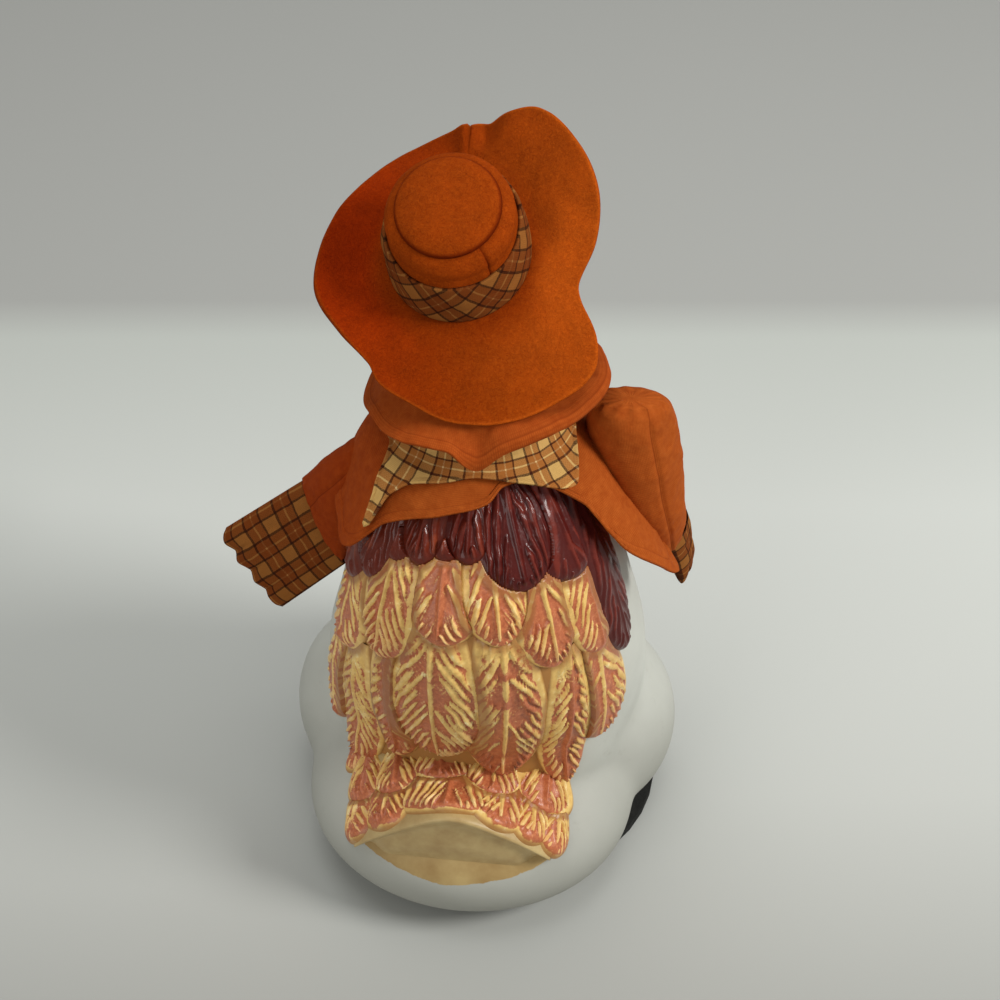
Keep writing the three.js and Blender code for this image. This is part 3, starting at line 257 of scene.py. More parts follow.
def share(rows, column, t):
    """A value from a table at share t of its first column, on a smooth curve."""
    rows = np.asarray(rows, float)
    x, y = rows[:, 0], rows[:, column]
    xs, ys = np.pad(x, 1, "edge"), np.pad(y, 1, "edge")
    slope = (ys[2:] - ys[:-2]) / (xs[2:] - xs[:-2])
    i = np.clip(np.searchsorted(x, t) - 1, 0, len(x) - 2)
    step = x[i + 1] - x[i]
    return hermite(np.clip((t - x[i]) / step, 0, 1), y[i], y[i + 1], step * slope[i], step * slope[i + 1])


LATTICE = RNG.random((32, 32, 32))


def noise(points, size, seed=0):
    """Smooth noise from -1 to 1 at points, with features of a size in mm."""
    p = np.asarray(points, float) / size + seed * 7.31
    i = np.floor(p).astype(int)
    f = p - i
    f = f * f * (3 - 2 * f)
    total = 0
    for corner in np.ndindex(2, 2, 2):
        k = (i + corner) % 32
        w = np.prod(np.where(np.array(corner) == 1, f, 1 - f), axis=-1)
        total = total + w * LATTICE[k[..., 0], k[..., 1], k[..., 2]]
    return 2 * total - 1


def unit(v):
    return v / np.maximum(np.linalg.norm(v, axis=-1, keepdims=True), 1e-9)


def xyz(x, y, z):
    return np.stack(np.broadcast_arrays(x, y, z), axis=-1).astype(float)


# The casting's surface.
LOBES = [[a * s for a, s in zip(row, (HALF_WIDTH, HALF_DEPTH, BODY_HEIGHT) * 2)] for row in LOBE_SHARES]


def body_share(column, z):
    return share(BODY_SHARES, column, (z - FOOT) / BODY_HEIGHT)


def lobe_reach(lobe, axis_x, axis_y, side, back, z):
    x, y, height, rx, ry, rz = lobe
    scale = 1 - ((z - height) / rz) ** 2
    s = np.sqrt(np.maximum(scale, 1e-6))
    cx, cy = x - axis_x, y - axis_y
    a = (side / (rx * s)) ** 2 + (back / (ry * s)) ** 2
    b = side * cx / (rx * s) ** 2 + back * cy / (ry * s) ** 2
    c = (cx / (rx * s)) ** 2 + (cy / (ry * s)) ** 2 - 1
    root = b * b - a * c
    reach = (b + safe_sqrt(root)) / a
    return np.where((scale > 0) & (root > 0), np.maximum(reach, 0), 0)


def body_axis(z):
    return -BODY_SWAY * body_share(5, z), BODY_LEAN * body_share(1, z)


NECK_Y = float(body_axis(np.array(TOP))[1])


def body_reach(turn, z):
    turn, z = np.broadcast_arrays(np.asarray(turn, float), np.asarray(z, float))
    side, back = compass(turn)
    depth = np.where(back > 0, body_share(3, z), body_share(4, z)) * HALF_DEPTH
    trunk = 1 / np.hypot(side / (body_share(2, z) * HALF_WIDTH), back / depth)
    axis_x, axis_y = body_axis(z)
    reaches = np.stack([trunk] + [lobe_reach(l, axis_x, axis_y, side, back, z) for l in LOBES])
    longest = reaches.max(axis=0)
    return longest * ((reaches / longest) ** LOBE_BLEND).sum(axis=0) ** (1 / LOBE_BLEND)


def body_point(turn, z):
    r, (side, back) = body_reach(turn, z), compass(turn)
    axis_x, axis_y = body_axis(np.asarray(z, float))
    return xyz(axis_x + r * side, axis_y + r * back, z)


def over_body(turn, z, lift):
    """Points at a height over the body's surface, along its outward normal."""
    dz = BODY_HEIGHT / 100
    across = body_point(turn + 2, z) - body_point(turn - 2, z)
    up = body_point(turn, z + dz) - body_point(turn, z - dz)
    normal = unit(np.cross(up, across))
    return body_point(turn, z) + normal * np.asarray(lift)[..., None]


# Meshes from grids of points.
class Patches:
    """Grids of points that become one mesh, with values and cloth coordinates at each point."""

    def __init__(self):
        self.points, self.faces, self.uvs, self.values, self.count = [], [], [], {}, 0

    def add(self, points, closed=False, flip=False, uv=None, **values):
        rows, across = points.shape[:2]
        columns = across if closed else across - 1
        j, i = np.meshgrid(np.arange(rows - 1), np.arange(columns), indexing="ij")
        corners = [(j, i), (j, i + 1), (j + 1, i + 1), (j + 1, i)]
        if flip:
            corners.reverse()
        quads = np.stack([a * across + b % across for a, b in corners], axis=-1)
        self.faces.append(quads.reshape(-1, 4) + self.count)
        uv = np.zeros((rows, columns + 1, 2)) if uv is None else uv
        self.uvs.append(np.stack([uv[a, b] for a, b in corners], axis=2).reshape(-1, 2))
        self.points.append(points.reshape(-1, 3))
        for name, value in values.items():
            flat = np.broadcast_to(value, (rows, across)).reshape(-1)
            self.values.setdefault(name, []).append(flat)
        self.count += rows * across
        return self

    def build(self, name, material, frame_matrix=None):
        points = np.concatenate(self.points)
        if frame_matrix is not None:
            points = points @ frame_matrix[0].T + frame_matrix[1]
        mesh = bpy.data.meshes.new(name)
        mesh.from_pydata((points * MM).tolist(), [], np.concatenate(self.faces).tolist())
        mesh.uv_layers.new(name="cloth").data.foreach_set("uv", np.concatenate(self.uvs).ravel())
        for key, parts in self.values.items():
            attribute = mesh.attributes.new(key, "FLOAT", "POINT")
            attribute.data.foreach_set("value", np.concatenate(parts).astype(np.float32))
        mesh.shade_smooth()
        mesh.materials.append(material)
        piece = bpy.data.objects.new(name, mesh)
        bpy.context.scene.collection.objects.link(piece)
        return piece


def grid(rows, columns, low=0.0, closed=False):
    """Two arrays over a grid: across from low to 1, and along from 0 to 1."""
    u = np.linspace(low, 1, columns, endpoint=not closed)
    return np.meshgrid(u, np.linspace(0, 1, rows))


def round_grid(rows, columns):
    """Two arrays over a grid that closes: turns from -180 to 180, and along from 0 to 1."""
    s, v = grid(rows, columns, closed=True)
    return 360 * s - 180, v


def cloth_uv(angle, radius, fall):
    """Cloth coordinates of a sheet that closes, with one more column where it does."""
    girth = angle * radius
    girth = np.concatenate([girth, girth[:, :1] + 2 * np.pi * radius], axis=1)
    return np.stack([girth, np.concatenate([fall, fall[:, :1]], axis=1)], axis=-1)


def capped(rings):
    """Rings with a point at their middle at each end, so that the form is closed."""
    ends = [np.broadcast_to(r.mean(axis=0), r.shape) for r in (rings[0], rings[-1])]
    return np.concatenate([ends[0][None], rings, ends[1][None]])


def thicken(piece, thickness, offset=-1.0):
    """Gives a sheet its thickness: inward at an offset of -1, and to both sides at 0."""
    solid = piece.modifiers.new("thickness", "SOLIDIFY")
    solid.thickness, solid.offset = thickness * MM, offset
    return piece


# Looks.
def linear(color):
    """A colour for a node: from a grey, from three values as on a screen, 0 to 255, or as it is."""
    if isinstance(color, float):
        return color, color, color, 1.0
    if len(color) == 4:
        return color
    shares = [c / 255 for c in color]
    return (*[c / 12.92 if c <= 0.04 else ((c + 0.055) / 1.055) ** 2.4 for c in shares], 1.0)


class Look:
    """One node material."""

    def __init__(self, name, **constants):
        self.material = bpy.data.materials.new(name)
        self.material.use_nodes = True
        self.tree = self.material.node_tree
        self.shader = self.tree.nodes["Principled BSDF"]
        for key, value in constants.items():
            self.shader.inputs[key.replace("_", " ")].default_value = value

    def put(self, socket, value):
        if isinstance(value, bpy.types.NodeSocket):
            self.tree.links.new(value, socket)
        else:
            socket.default_value = linear(value) if isinstance(value, tuple) else value

    def add(self, kind, inputs=None, **settings):
        node = self.tree.nodes.new("ShaderNode" + kind)
        for key, value in settings.items():
            setattr(node, key, value)
        for key, value in (inputs or {}).items():
            self.put(node.inputs[key], value)
        return node

    def math(self, operation, *values):
        return self.add("Math", dict(enumerate(values)), operation=operation).outputs[0]

    def plus(self, a, b):
        return self.math("ADD", a, b)

    def minus(self, a, b):
        return self.math("SUBTRACT", a, b)

    def times(self, a, b):
        return self.math("MULTIPLY", a, b)

    def split(self, kind):
        """The parts of a texture coordinate."""
        return self.add("SeparateXYZ", {"Vector": self.add("TexCoord").outputs[kind]}).outputs

    def value(self, name):
        return self.add("Attribute", attribute_name=name).outputs["Fac"]

    def noise(self, size, detail=3.0, roughness=0.55, distortion=0.0):
        """Noise with features of a size in mm."""
        inputs = {"Scale": 1 / (size * MM), "Detail": detail, "Roughness": roughness}
        inputs |= {"Distortion": distortion, "Vector": self.add("TexCoord").outputs["Object"]}
        return self.add("TexNoise", inputs).outputs["Fac"]

    def ramp(self, factor, *stops):
        node = self.add("ValToRGB", {"Fac": factor})
        elements = node.color_ramp.elements
        while len(elements) < len(stops):
            elements.new(0.5)
        for element, (at, color) in zip(elements, stops):
            element.position, element.color = at, linear(color)
        return node.outputs["Color"]

    def mottle(self, factor, dark, light):
        return self.ramp(factor, (0.3, dark), (0.7, light))

    def step(self, factor, low, high):
        inputs = {"Value": factor, "From Min": low, "From Max": high}
        return self.add("MapRange", inputs, interpolation_type="SMOOTHSTEP").outputs["Result"]

    def mix(self, factor, a, b, mode="MIX"):
        inputs = {"Fac": factor, "Color1": a, "Color2": b}
        return self.add("MixRGB", inputs, blend_type=mode).outputs["Color"]

    def bump(self, height, distance, strength, normal=None):
        under = {} if normal is None else {"Normal": normal}
        inputs = {"Height": height, "Distance": distance * MM, "Strength": strength, **under}
        return self.add("Bump", inputs).outputs["Normal"]

    def done(self, color, roughness, normal=None):
        for name, value in (("Base Color", color), ("Roughness", roughness), ("Normal", normal)):
            if value is not None:
                self.put(self.shader.inputs[name], value)
        return self.material


def white_paint():
    look = Look("white_paint", Specular_IOR_Level=0.3)
    height = look.split("Object")["Z"]
    paint = look.plus(look.value("paint"), look.noise(5, 6, 0.7))
    painted = look.step(paint, 0.46, 0.54)
    white = look.mottle(look.noise(34, 4), (190, 191, 183), (206, 208, 200))
    grime = look.times(look.step(look.noise(7, 8, 0.75), 0.56, 0.8), 0.35)
    white = look.mix(grime, white, (140, 136, 122))
    # Painted shade: the white darkens towards the foot, from 60 mm down.
    white = look.mix(look.times(look.step(height, 0.06, 0.004), 0.8), white, (138, 137, 128))
    cream = look.mottle(look.noise(9, 4), (156, 126, 78), (184, 158, 106))
    # Painted shade: above 45 mm the cream turns a darker gold, as shade in the gaps between the feathers.
    cream = look.mix(look.step(height, 0.03, 0.045), cream, (168, 118, 62))
    color = look.mix(painted, white, cream)
    normal = look.bump(look.noise(1.6, 4), 0.06, 0.5)
    return look.done(color, look.ramp(look.noise(20), (0, 0.48), (1, 0.66)), normal)


def feather_paint():
    look = Look("feather_paint", Specular_IOR_Level=0.4, Coat_Weight=0.15, Coat_Roughness=0.2)
    ridge, rim, tip, crease = (look.value(name) for name in ("ridge", "rim", "tip", "crease"))
    dabs, brush = look.noise(1.1, 6, 0.75), look.noise(3.4, 5, 0.65)
    rust = look.ramp(dabs, (0.25, (152, 74, 44)), (0.55, (192, 110, 70)), (0.8, (222, 154, 102)))
    peach = look.mottle(brush, (232, 166, 106), (246, 206, 142))
    gold = look.ramp(brush, (0.3, (208, 160, 84)), (0.58, (234, 196, 116)), (0.74, (250, 232, 172)))
    ragged = look.times(look.minus(dabs, 0.5), 1.3)
    stroke = look.mix(look.times(tip, 0.85), gold, peach)
    color = look.mix(look.step(look.plus(ridge, ragged), 0.26, 0.56), rust, stroke)
    patchy = look.times(look.minus(brush, 0.5), look.minus(2.6, tip))
    bare = look.plus(look.plus(rim, ragged), patchy)
    color = look.mix(look.step(bare, 0.4, 0.66), color, gold)
    # Painted shade: darker brown in the creases round each feather's own rim and under the tips of the
    # feathers over it.
    color = look.mix(look.times(crease, 0.75), color, (150, 92, 44))
    normal = look.bump(look.noise(0.8, 4), 0.12, 0.6)
    return look.done(color, look.ramp(dabs, (0, 0.3), (1, 0.5)), normal)


def maroon_glaze():
    look = Look("maroon_glaze", Coat_Weight=0.28, Coat_Roughness=0.08, Specular_IOR_Level=0.15)
    # Here the tone value is the cape's own colour: reddish brown on its left, dark maroon on its right.
    ridge, tone = look.value("ridge"), look.value("tone")
    deep = look.mix(tone, (104, 36, 18), (80, 24, 20))
    worn = look.mix(tone, (142, 64, 36), (112, 42, 32))
    dabs = look.plus(look.times(ridge, 0.5), look.noise(2.4, 5, 0.7))
    color = look.mix(look.step(dabs, 0.5, 1.0), deep, worn)
    return look.done(color, 0.3, look.bump(look.noise(2.0, 3), 0.2, 0.7))


def smooth_cream():
    look = Look("cream_paint", Specular_IOR_Level=0.4)
    color = look.mottle(look.noise(8, 5, 0.6), (166, 136, 88), (194, 170, 118))
    return look.done(color, 0.42, look.bump(look.noise(2.5, 3), 0.1, 0.5))


def orange_glaze():
    look = Look("orange_paint", Coat_Weight=0.2)
    color = look.mottle(look.noise(6, 4), (190, 104, 34), (212, 130, 52))
    # Painted shade: darker where the crease value is high, in the bill's nostril dips and the valleys between
    # the toes.
    color = look.mix(look.value("crease"), color, (96, 44, 18))
    return look.done(color, 0.36, look.bump(look.noise(1.5), 0.05, 0.4))


def eye_glaze():
    look = Look("eye_glaze", Coat_Weight=1.0, Coat_Roughness=0.03)
    black = look.ramp(look.noise(3), (0, (14, 11, 10)), (1, (26, 20, 18)))
    return look.done(look.mix(look.value("iris"), black, (74, 40, 18)), 0.12)


def felt(name, dark, light, fuzz):
    """Pressed fibres: mottled and rough, and deeper in colour where the tone value is high: painted shade,
    and a painted highlight where it drops at the brim's edge.
    """
    look = Look(name, Specular_IOR_Level=0.03)
    blotch = look.noise(6, 6, 0.65)
    fibre = look.noise(0.75, 6, 0.8, distortion=1.4)
    blotched = look.mottle(blotch, dark, light)
    color = look.mix(0.6, blotched, look.ramp(fibre, (0.2, dark), (0.72, fuzz)))
    deeper = look.ramp(look.value("tone"), (0, (1, 1, 1, 1)), (0.45, (0.66, 0.56, 0.5, 1)),
                       (0.6, (0.58, 0.42, 0.32, 1)), (1, (0.6, 0.27, 0.18, 1)))
    color = look.mix(1.0, look.mix(look.value("seam"), color, dark), deeper, "MULTIPLY")
    normal = look.bump(fibre, 0.5, 0.9, look.bump(look.noise(2.2, 5), 0.5, 0.5))
    return look.done(color, 0.95, normal)


def weave(look, pitch):
    """Cloth coordinates in mm, the height of a plain weave's threads, and which lies on top."""
    parts = look.split("UV")
    across, along = parts["X"], parts["Y"]
    waves = [look.math("SINE", look.times(axis, math.pi / pitch)) for axis in (across, along)]
    crossed = look.times(*waves)
    return across, along, look.math("ABSOLUTE", crossed), look.math("GREATER_THAN", crossed, 0.0)


def orange_cotton():
    look = Look("orange_cotton", Specular_IOR_Level=0.06)
    _, _, threads, _ = weave(look, WEAVE_PITCH)
    slub = look.noise(2.4, 5, 0.7)
    color = look.ramp(slub, (0.28, (160, 72, 22)), (0.72, (186, 94, 35)))
    # Painted shade between the threads of the weave.
    thread_gap_shade = look.times(look.minus(1.0, threads), 0.35)
    color = look.mix(thread_gap_shade, color, (118, 44, 8))
    sewn = look.times(look.step(look.value("stitch"), 0.4, 0.6), 0.6)
    color = look.mix(sewn, color, (124, 50, 12))
    # Painted shade: where the tone value is high the cotton is darker and redder, on the coat's left side,
    # the left sleeve and the ruff.
    color = look.mix(look.value("tone"), color, look.mix(1.0, color, (0.76, 0.5, 0.36, 1), "MULTIPLY"))
    normal = look.bump(threads, 0.1, 0.5, look.bump(slub, 0.5, 0.35))
    return look.done(color, 0.9, normal)


def plaid_stripes(look, thread):
    """Colour of the threads along one way of the plaid."""
    at = look.math("FRACT", look.math("DIVIDE", thread, PLAID_REPEAT))
    dark, brown = (58, 24, 22), (176, 116, 62)
    light, pale = (220, 188, 126), (240, 222, 174)
    return look.ramp(
        at, (0, dark), (0.07, dark), (0.08, light), (0.47, light), (0.48, dark), (0.53, dark),
        (0.54, brown), (0.73, brown), (0.74, pale), (0.78, pale), (0.79, brown), (1, brown),
    )


def plaid_cotton(name, shade):
    look = Look(name, Specular_IOR_Level=0.06)
    across, along, threads, over = weave(look, PLAID_PITCH)
    wobble = look.times(look.minus(look.noise(5, 3), 0.5), 0.8)
    warp = plaid_stripes(look, look.plus(across, wobble))
    weft = plaid_stripes(look, look.plus(along, wobble))
    woven = look.mix(look.plus(look.times(over, 0.3), 0.35), warp, weft)
    both = look.mix(0.62, woven, look.mix(1.0, warp, weft, "DARKEN"))
    color = look.mix(1.0, both, shade, "MULTIPLY")
    color = look.mix(look.times(look.noise(1.2, 4, 0.7), 0.25), color, (110, 70, 40))
    normal = look.bump(threads, 0.12, 0.6, look.bump(look.noise(2.4, 4), 0.4, 0.4))
    return look.done(color, 0.92, normal)


WHITE, FEATHER, MAROON, CREAM = white_paint(), feather_paint(), maroon_glaze(), smooth_cream()
ORANGE_CLAY, EYE, ORANGE_COTTON = orange_glaze(), eye_glaze(), orange_cotton()
ORANGE_FELT = felt("orange_felt", (122, 32, 2), (190, 72, 8), (242, 122, 32))
DARK_FELT = felt("dark_felt", (34, 35, 34), (52, 53, 51), (70, 70, 68))
PLAID = plaid_cotton("plaid_cotton", (255, 240, 216))
PLAID_DARK = plaid_cotton("plaid_band", (172, 128, 92))


def place(piece, node, body="figure"):
    """Rides a piece on a body in place of a CAD node."""
    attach(piece, body)
    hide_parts(node)


# Body.
def body_piece():
    turns = np.arange(0, 360, 1.5)
    heights = FOOT + BODY_HEIGHT * np.linspace(0, 1, 150)
    turn, z = np.meshgrid(turns, heights)
    points = body_point(turn, z)
    side, back = compass(turns)
    hole = xyz(POUR_RADIUS * side, POUR_RADIUS * back, FOOT)
    under = [lerp(hole, points[0], f) for f in (0, 0.5, 0.94)]
    neck = xyz(NECK_RADIUS * side, NECK_Y + NECK_RADIUS * back, TOP)
    points = np.concatenate([np.stack(under), points, neck[None]])
    wrapped = (turn + 180) % 360 - 180
    t = (z - FOOT) / BODY_HEIGHT
    inside = share(PAINT_SHARES, 2, t) - abs(wrapped - share(PAINT_SHARES, 1, t))
    paint = np.clip(inside / PAINT_EDGE, -1, 1)
    paint = np.pad(paint, ((3, 1), (0, 0)), constant_values=-1.0)
    piece = Patches().add(points, closed=True, flip=True, paint=paint).build("body", WHITE)
    thicken(piece, BODY_WALL)
    place(piece, "body_casting")


body_piece()

# Feathers. A style says how its barbs lie and how far it laps under the next row.
BARB_HEIGHT, BARB_RIM = 1.15, 2.7
CARVED = {"pitch": 3.9, "slope": 1.6, "depth": 1.0, "tone": 0, "lap": 0.97}
GLAZED = {"pitch": 6.0, "slope": 2.5, "depth": 0.85, "tone": 1, "lap": 0.97}
TAIL_CARVED = {**CARVED, "pitch": 0.8 * CARVED["pitch"], "lap": 0.95}


def feather_outline(v):
    root = lerp(ROOT_SHARE, 1, np.sin(np.pi / 2 * np.minimum(v / WIDEST_SHARE, 1)))
    tip = safe_sqrt(1 - ((v - WIDEST_SHARE) / (1 - WIDEST_SHARE)) ** 2)
    return np.where(v < WIDEST_SHARE, root, tip)


def barbs(x, u, v, d, style, seed):
    """Tapered strokes that fan from the shaft out towards the tip: 1 on a stroke's crest."""
    rng = np.random.default_rng(seed)
    wide, start, end = rng.uniform(0.5, 1.0, 64), rng.uniform(0.02, 0.4, 64), rng.uniform(0.6, 1.0, 64)
    steep = style["slope"] * (0.6 + 0.7 * v) * rng.uniform(0.7, 1.25)
    q = (d - steep * abs(x)) / style["pitch"] + rng.uniform(0, 1) + np.where(x > 0, 0.45, 0)
    q = q + 0.35 * noise(xyz(x, d, seed), 5.0) + 0.1 * noise(xyz(x, d, seed + 9), 1.6)
    key = (np.floor(q).astype(int) * 2 + (x > 0)) % 64
    along = np.clip((abs(u) - start[key]) / (end[key] - start[key]), 0, 1)
    width = wide[key] * (1.2 - 0.45 * smooth(0.5, 1, v)) * np.sin(np.pi * along ** 0.8) ** 0.6 + 1e-6
    return np.clip(1 - ((q - np.floor(q) - 0.5) / (0.5 * width)) ** 2, 0, 1)


def feather(patches, to_surface, half_width, length, seed, style, outlines):
    """One feather: a domed plate with a shaft, carved barbs and a rounded rim.

    outlines gives its points' places, across and along, in each feather that may lie over it.
    """
    u, v = grid(110, 81, low=-1.0)
    v = np.sin(np.pi / 2 * v) ** 0.8
    outline = feather_outline(v)
    across, along = u * outline * half_width, length * (1 - v)
    tip = np.clip((v - WIDEST_SHARE) / (1 - WIDEST_SHARE), 0, 1)
    radius = np.sqrt((u * outline) ** 2 + tip ** 2)
    tip_reach = lerp(half_width, length * (1 - WIDEST_SHARE), tip ** 2)
    from_rim = np.where(v > WIDEST_SHARE, (1 - radius) * tip_reach, (1 - abs(u)) * outline * half_width)
    rng = np.random.default_rng(seed + 500)
    plate = FEATHER_THICKNESS * lerp(0.35, 1.05, v) * (1 - 0.45 * u * u)
    rounding = np.sqrt(1 - (1 - np.clip(from_rim / 4.6, 0, 1)) ** 2)
    rim = BARB_RIM * min(1, half_width / 9) * lerp(1, 0.3, tip)
    inside = smooth(rim - 0.6, rim + 0.5, from_rim + 0.5 * noise(xyz(across, along, seed), 3.0))
    ridge = barbs(across, u, v, length * v, style, seed) * inside
    hairs = barbs(across, u, v, length * v, {**style, "pitch": 0.38 * style["pitch"]}, seed + 77) * inside
    hairs = hairs * smooth(-0.1, 0.4, noise(xyz(across, along, seed + 2.2), 4.0))
    shaft = bell(across, 0.9 * (1.15 - 0.8 * v)) * smooth(1.5, 3.5, from_rim)
    relief = np.maximum(ridge, shaft) + 0.25 * hairs - 0.5
    carved = BARB_HEIGHT * style["depth"] * relief * smooth(0.8, 3.5, from_rim)
    lift = plate * rounding + carved + 0.25 * noise(xyz(across, along, seed), 4.0) - 0.5 * (1 - rounding)
    # How near each point lies outside the outline of a feather over it: the carving flattens there, and shade
    # is painted in that crease.
    hidden, crease = False, 0
    for x, at in outlines(across, along):
        hidden |= (at < style["lap"]) & (abs(x) < 0.86 * feather_outline(np.clip(at + 0.05, 0, 1)))
        crease = np.maximum(crease, beside(x, at))
    lift = np.where(hidden, -1.2, lift - carved * 0.9 * crease)
    worn = noise(xyz(across, along, seed + 0.5), 5.0) - 0.9 * smooth(0.7, 0.95, v) + rng.uniform(-0.1, 0.7)
    stroke = np.maximum(np.maximum(ridge, 0.5 * hairs), shaft * rng.choice([0.0, 0.9, 1.0]))
    # Painted shade: the crease value also darkens a band just inside the feather's own rim.
    patches.add(
        to_surface(across, along, lift),
        ridge=stroke * smooth(-0.7, 0.1, worn),
        rim=1 - inside * smooth(0.02, 0.25, v),
        tip=tip,
        crease=np.maximum(crease, smooth(1.1, 0.2, from_rim)),
        tone=style["tone"],
    )


def beside(x, v):
    """How near a point is to a feather's outline from outside, from 0 to 1."""
    past = np.clip((v - WIDEST_SHARE) / (1 - WIDEST_SHARE), 0, 2)
    across = abs(x) / np.where(v < WIDEST_SHARE, feather_outline(np.clip(v, 0, WIDEST_SHARE)), 1)
    return smooth(1.17, 1.0, np.hypot(across, past))


def back_row(name, rows, over, look, node, style):
    """A row of feathers on the back, which may lie under those of the rows over it."""
    patches = Patches()
    for index, (turn, tip, wide, long) in enumerate(rows):
        def to_surface(across, along, lift):
            z = tip_z + along
            return over_body(turn + np.degrees(across / body_reach(turn, z)), z, lift)

        def outlines(across, along):
            z = tip_z + along
            here = turn + np.degrees(across / body_reach(turn, z))
            for other, end, width, reach in above:
                x = np.radians(here - other) * body_reach(other, z) / (FEATHER_HALF_WIDTH * width)
                yield x, 1 - (z - FOOT - end * BODY_HEIGHT) / (FEATHER_LENGTH * reach)

        tip_z = FOOT + tip * BODY_HEIGHT
        above = over + [row for k, row in enumerate(rows) if k % 2 == 1 and abs(k - index) == 1]
        own = {**style, "tone": style["tone"] * (1 - 0.8 * smooth(-25, 35, turn)),
               "depth": style["depth"] * (1 - 0.6 * smooth(35, 60, abs(turn)))}
        feather(patches, to_surface, FEATHER_HALF_WIDTH * wide, FEATHER_LENGTH * long,
                len(name) * 40 + index, own, outlines)
    place(patches.build(name, look), node)


back_row("cape", CAPE_SHARES, [], MAROON, "cape_feathers", GLAZED)
back_row("upper_row", UPPER_SHARES, CAPE_SHARES, FEATHER, "upper_feathers", CARVED)
back_row("lower_row", LOWER_SHARES, UPPER_SHARES + CAPE_SHARES, FEATHER,
         "lower_feathers", CARVED)


# Tail.
def tail_top(u, v, lift):
    arch = lerp(0.55, 1, v)
    z = TAIL_TOP_Z - TAIL_DROOP * u * u * arch - TAIL_FALL * v - TAIL_TILT * u
    z = z + TAIL_ARCH * bell(u + 0.02, 0.38) * smooth(0.4, 1, v)
    y = lerp(TAIL_ROOT_Y, TAIL_TIP_Y, v) - TAIL_CORNER_BACK * u * u * v
    spread = TAIL_HALF_WIDTH * (1 - 0.04 * v)
    tilt = np.arctan(2 * TAIL_DROOP * u * arch / spread)
    return xyz(TAIL_LEFT + spread * u + lift * np.sin(tilt), y, z + lift * np.cos(tilt))


def closed_curve(corners, count):
    """A smooth closed curve through corners, which has the shape (corners, columns, 3)."""
    n = len(corners)
    t = np.linspace(0, n, count, endpoint=False)
    i = np.floor(t).astype(int)
    before, a, b, after = (corners[(i + k) % n] for k in (-1, 0, 1, 2))
    return hermite((t - i)[:, None, None], a, b, 0.4 * (b - before), 0.4 * (after - a))


def tail_piece():
    u = np.linspace(-0.93, 0.93, 90)
    arch = u * u
    a, b, c = (tail_top(u, v, 0) for v in (0, 0.5, 1))
    x = c[:, 0]
    edge = xyz(x, c[:, 1] - 0.16 * TAIL_EDGE * (1 + arch), c[:, 2] - TAIL_EDGE * (1 - 0.6 * arch))
    hollow = xyz(x, edge[:, 1] - TAIL_EDGE * smooth(0.6, 0.93, abs(u)), lerp(c[:, 2], TAIL_UNDER_Z, 0.55))
    under = xyz(x, TAIL_UNDER_Y - TAIL_EDGE * arch, TAIL_UNDER_Z + 0.6 * TAIL_EDGE * arch)
    inner = xyz(a[:, 0], a[:, 1] - 0.4 * TAIL_EDGE, TAIL_UNDER_Z + 0.4 * TAIL_EDGE)
    ring = closed_curve(np.stack([a, b, c, edge, hollow, under, inner]), 84)
    points = capped(np.swapaxes(ring, 0, 1))
    piece = Patches().add(points, closed=True).build("tail_form", CREAM)
    place(piece, "tail")


def tail_row(name, rows, over, node):
    patches = Patches()
    for index, (middle, tip, wide, long) in enumerate(rows):
        def to_surface(across, along, lift):
            return tail_top(middle + across / TAIL_HALF_WIDTH, tip - along / TAIL_LENGTH, lift)

        def outlines(across, along):
            x, y = middle + across / TAIL_HALF_WIDTH, tip - along / TAIL_LENGTH
            for other, end, width, reach in over:
                yield (x - other) / width, 1 - (end - y) / reach

        feather(patches, to_surface, TAIL_HALF_WIDTH * wide, TAIL_LENGTH * long,
                len(name) * 70 + index, TAIL_CARVED, outlines)
    place(patches.build(name, FEATHER), node)


tail_piece()
tail_row("tail_root_row", TAIL_ROOT_SHARES, [], "tail_root_feathers")
tail_row("tail_tip_row", TAIL_TIP_SHARES, TAIL_ROOT_SHARES, "tail_tip_feathers")


# Coat, collar and ruff.
def coat_rest(drop):
    """How far the coat lies off the body."""
    return lerp(COAT_NECK_CLEARANCE, COAT_CLEARANCE, smooth(0, 0.1, drop))


def coat_piece():
    turn, v = round_grid(90, 360)
    v = v ** 1.2
    hem = share(COAT_HEM_SHARES, 1, turn)
    t = lerp(COAT_NECK_SHARE, hem, v)
    drop = COAT_NECK_SHARE - t
    pleat = COAT_PLEAT * np.sin(COAT_PLEATS * np.radians(turn)) * smooth(0, 0.25, drop)
    flare = COAT_FLARE * share(COAT_HEM_SHARES, 2, turn) * v ** 1.5
    z = FOOT + t * BODY_HEIGHT
    rest = body_point(turn, z)
    creases = 0.5 * noise(rest * (1, 1, 0.45), 6.0) + 0.25 * noise(rest, 2.6, 3)
    hem_edge = 0.35 * smooth(0.9, 0.92, v) + 0.3 * smooth(0.97, 1, v)
    lift = coat_rest(drop) + COTTON / 2 + pleat + flare + smooth(0.02, 0.12, drop) * creases + hem_edge
    uv = cloth_uv(np.radians(turn), COAT_GIRTH_RADIUS, drop * BODY_HEIGHT)
    stitch = bell(v - 0.9, 0.008) * smooth(0.01, 0.03, drop)
    # Painted shade: the coat is darker and redder on its left side, between turns 20 and 150.
    tone = 0.7 * smooth(20, 60, turn) * smooth(150, 110, turn)
    piece = Patches().add(over_body(turn, z, lift), closed=True, uv=uv, stitch=stitch, tone=tone)
    piece = thicken(piece.build("coat_cloth", ORANGE_COTTON), COTTON, 0)
    place(piece, "coat")


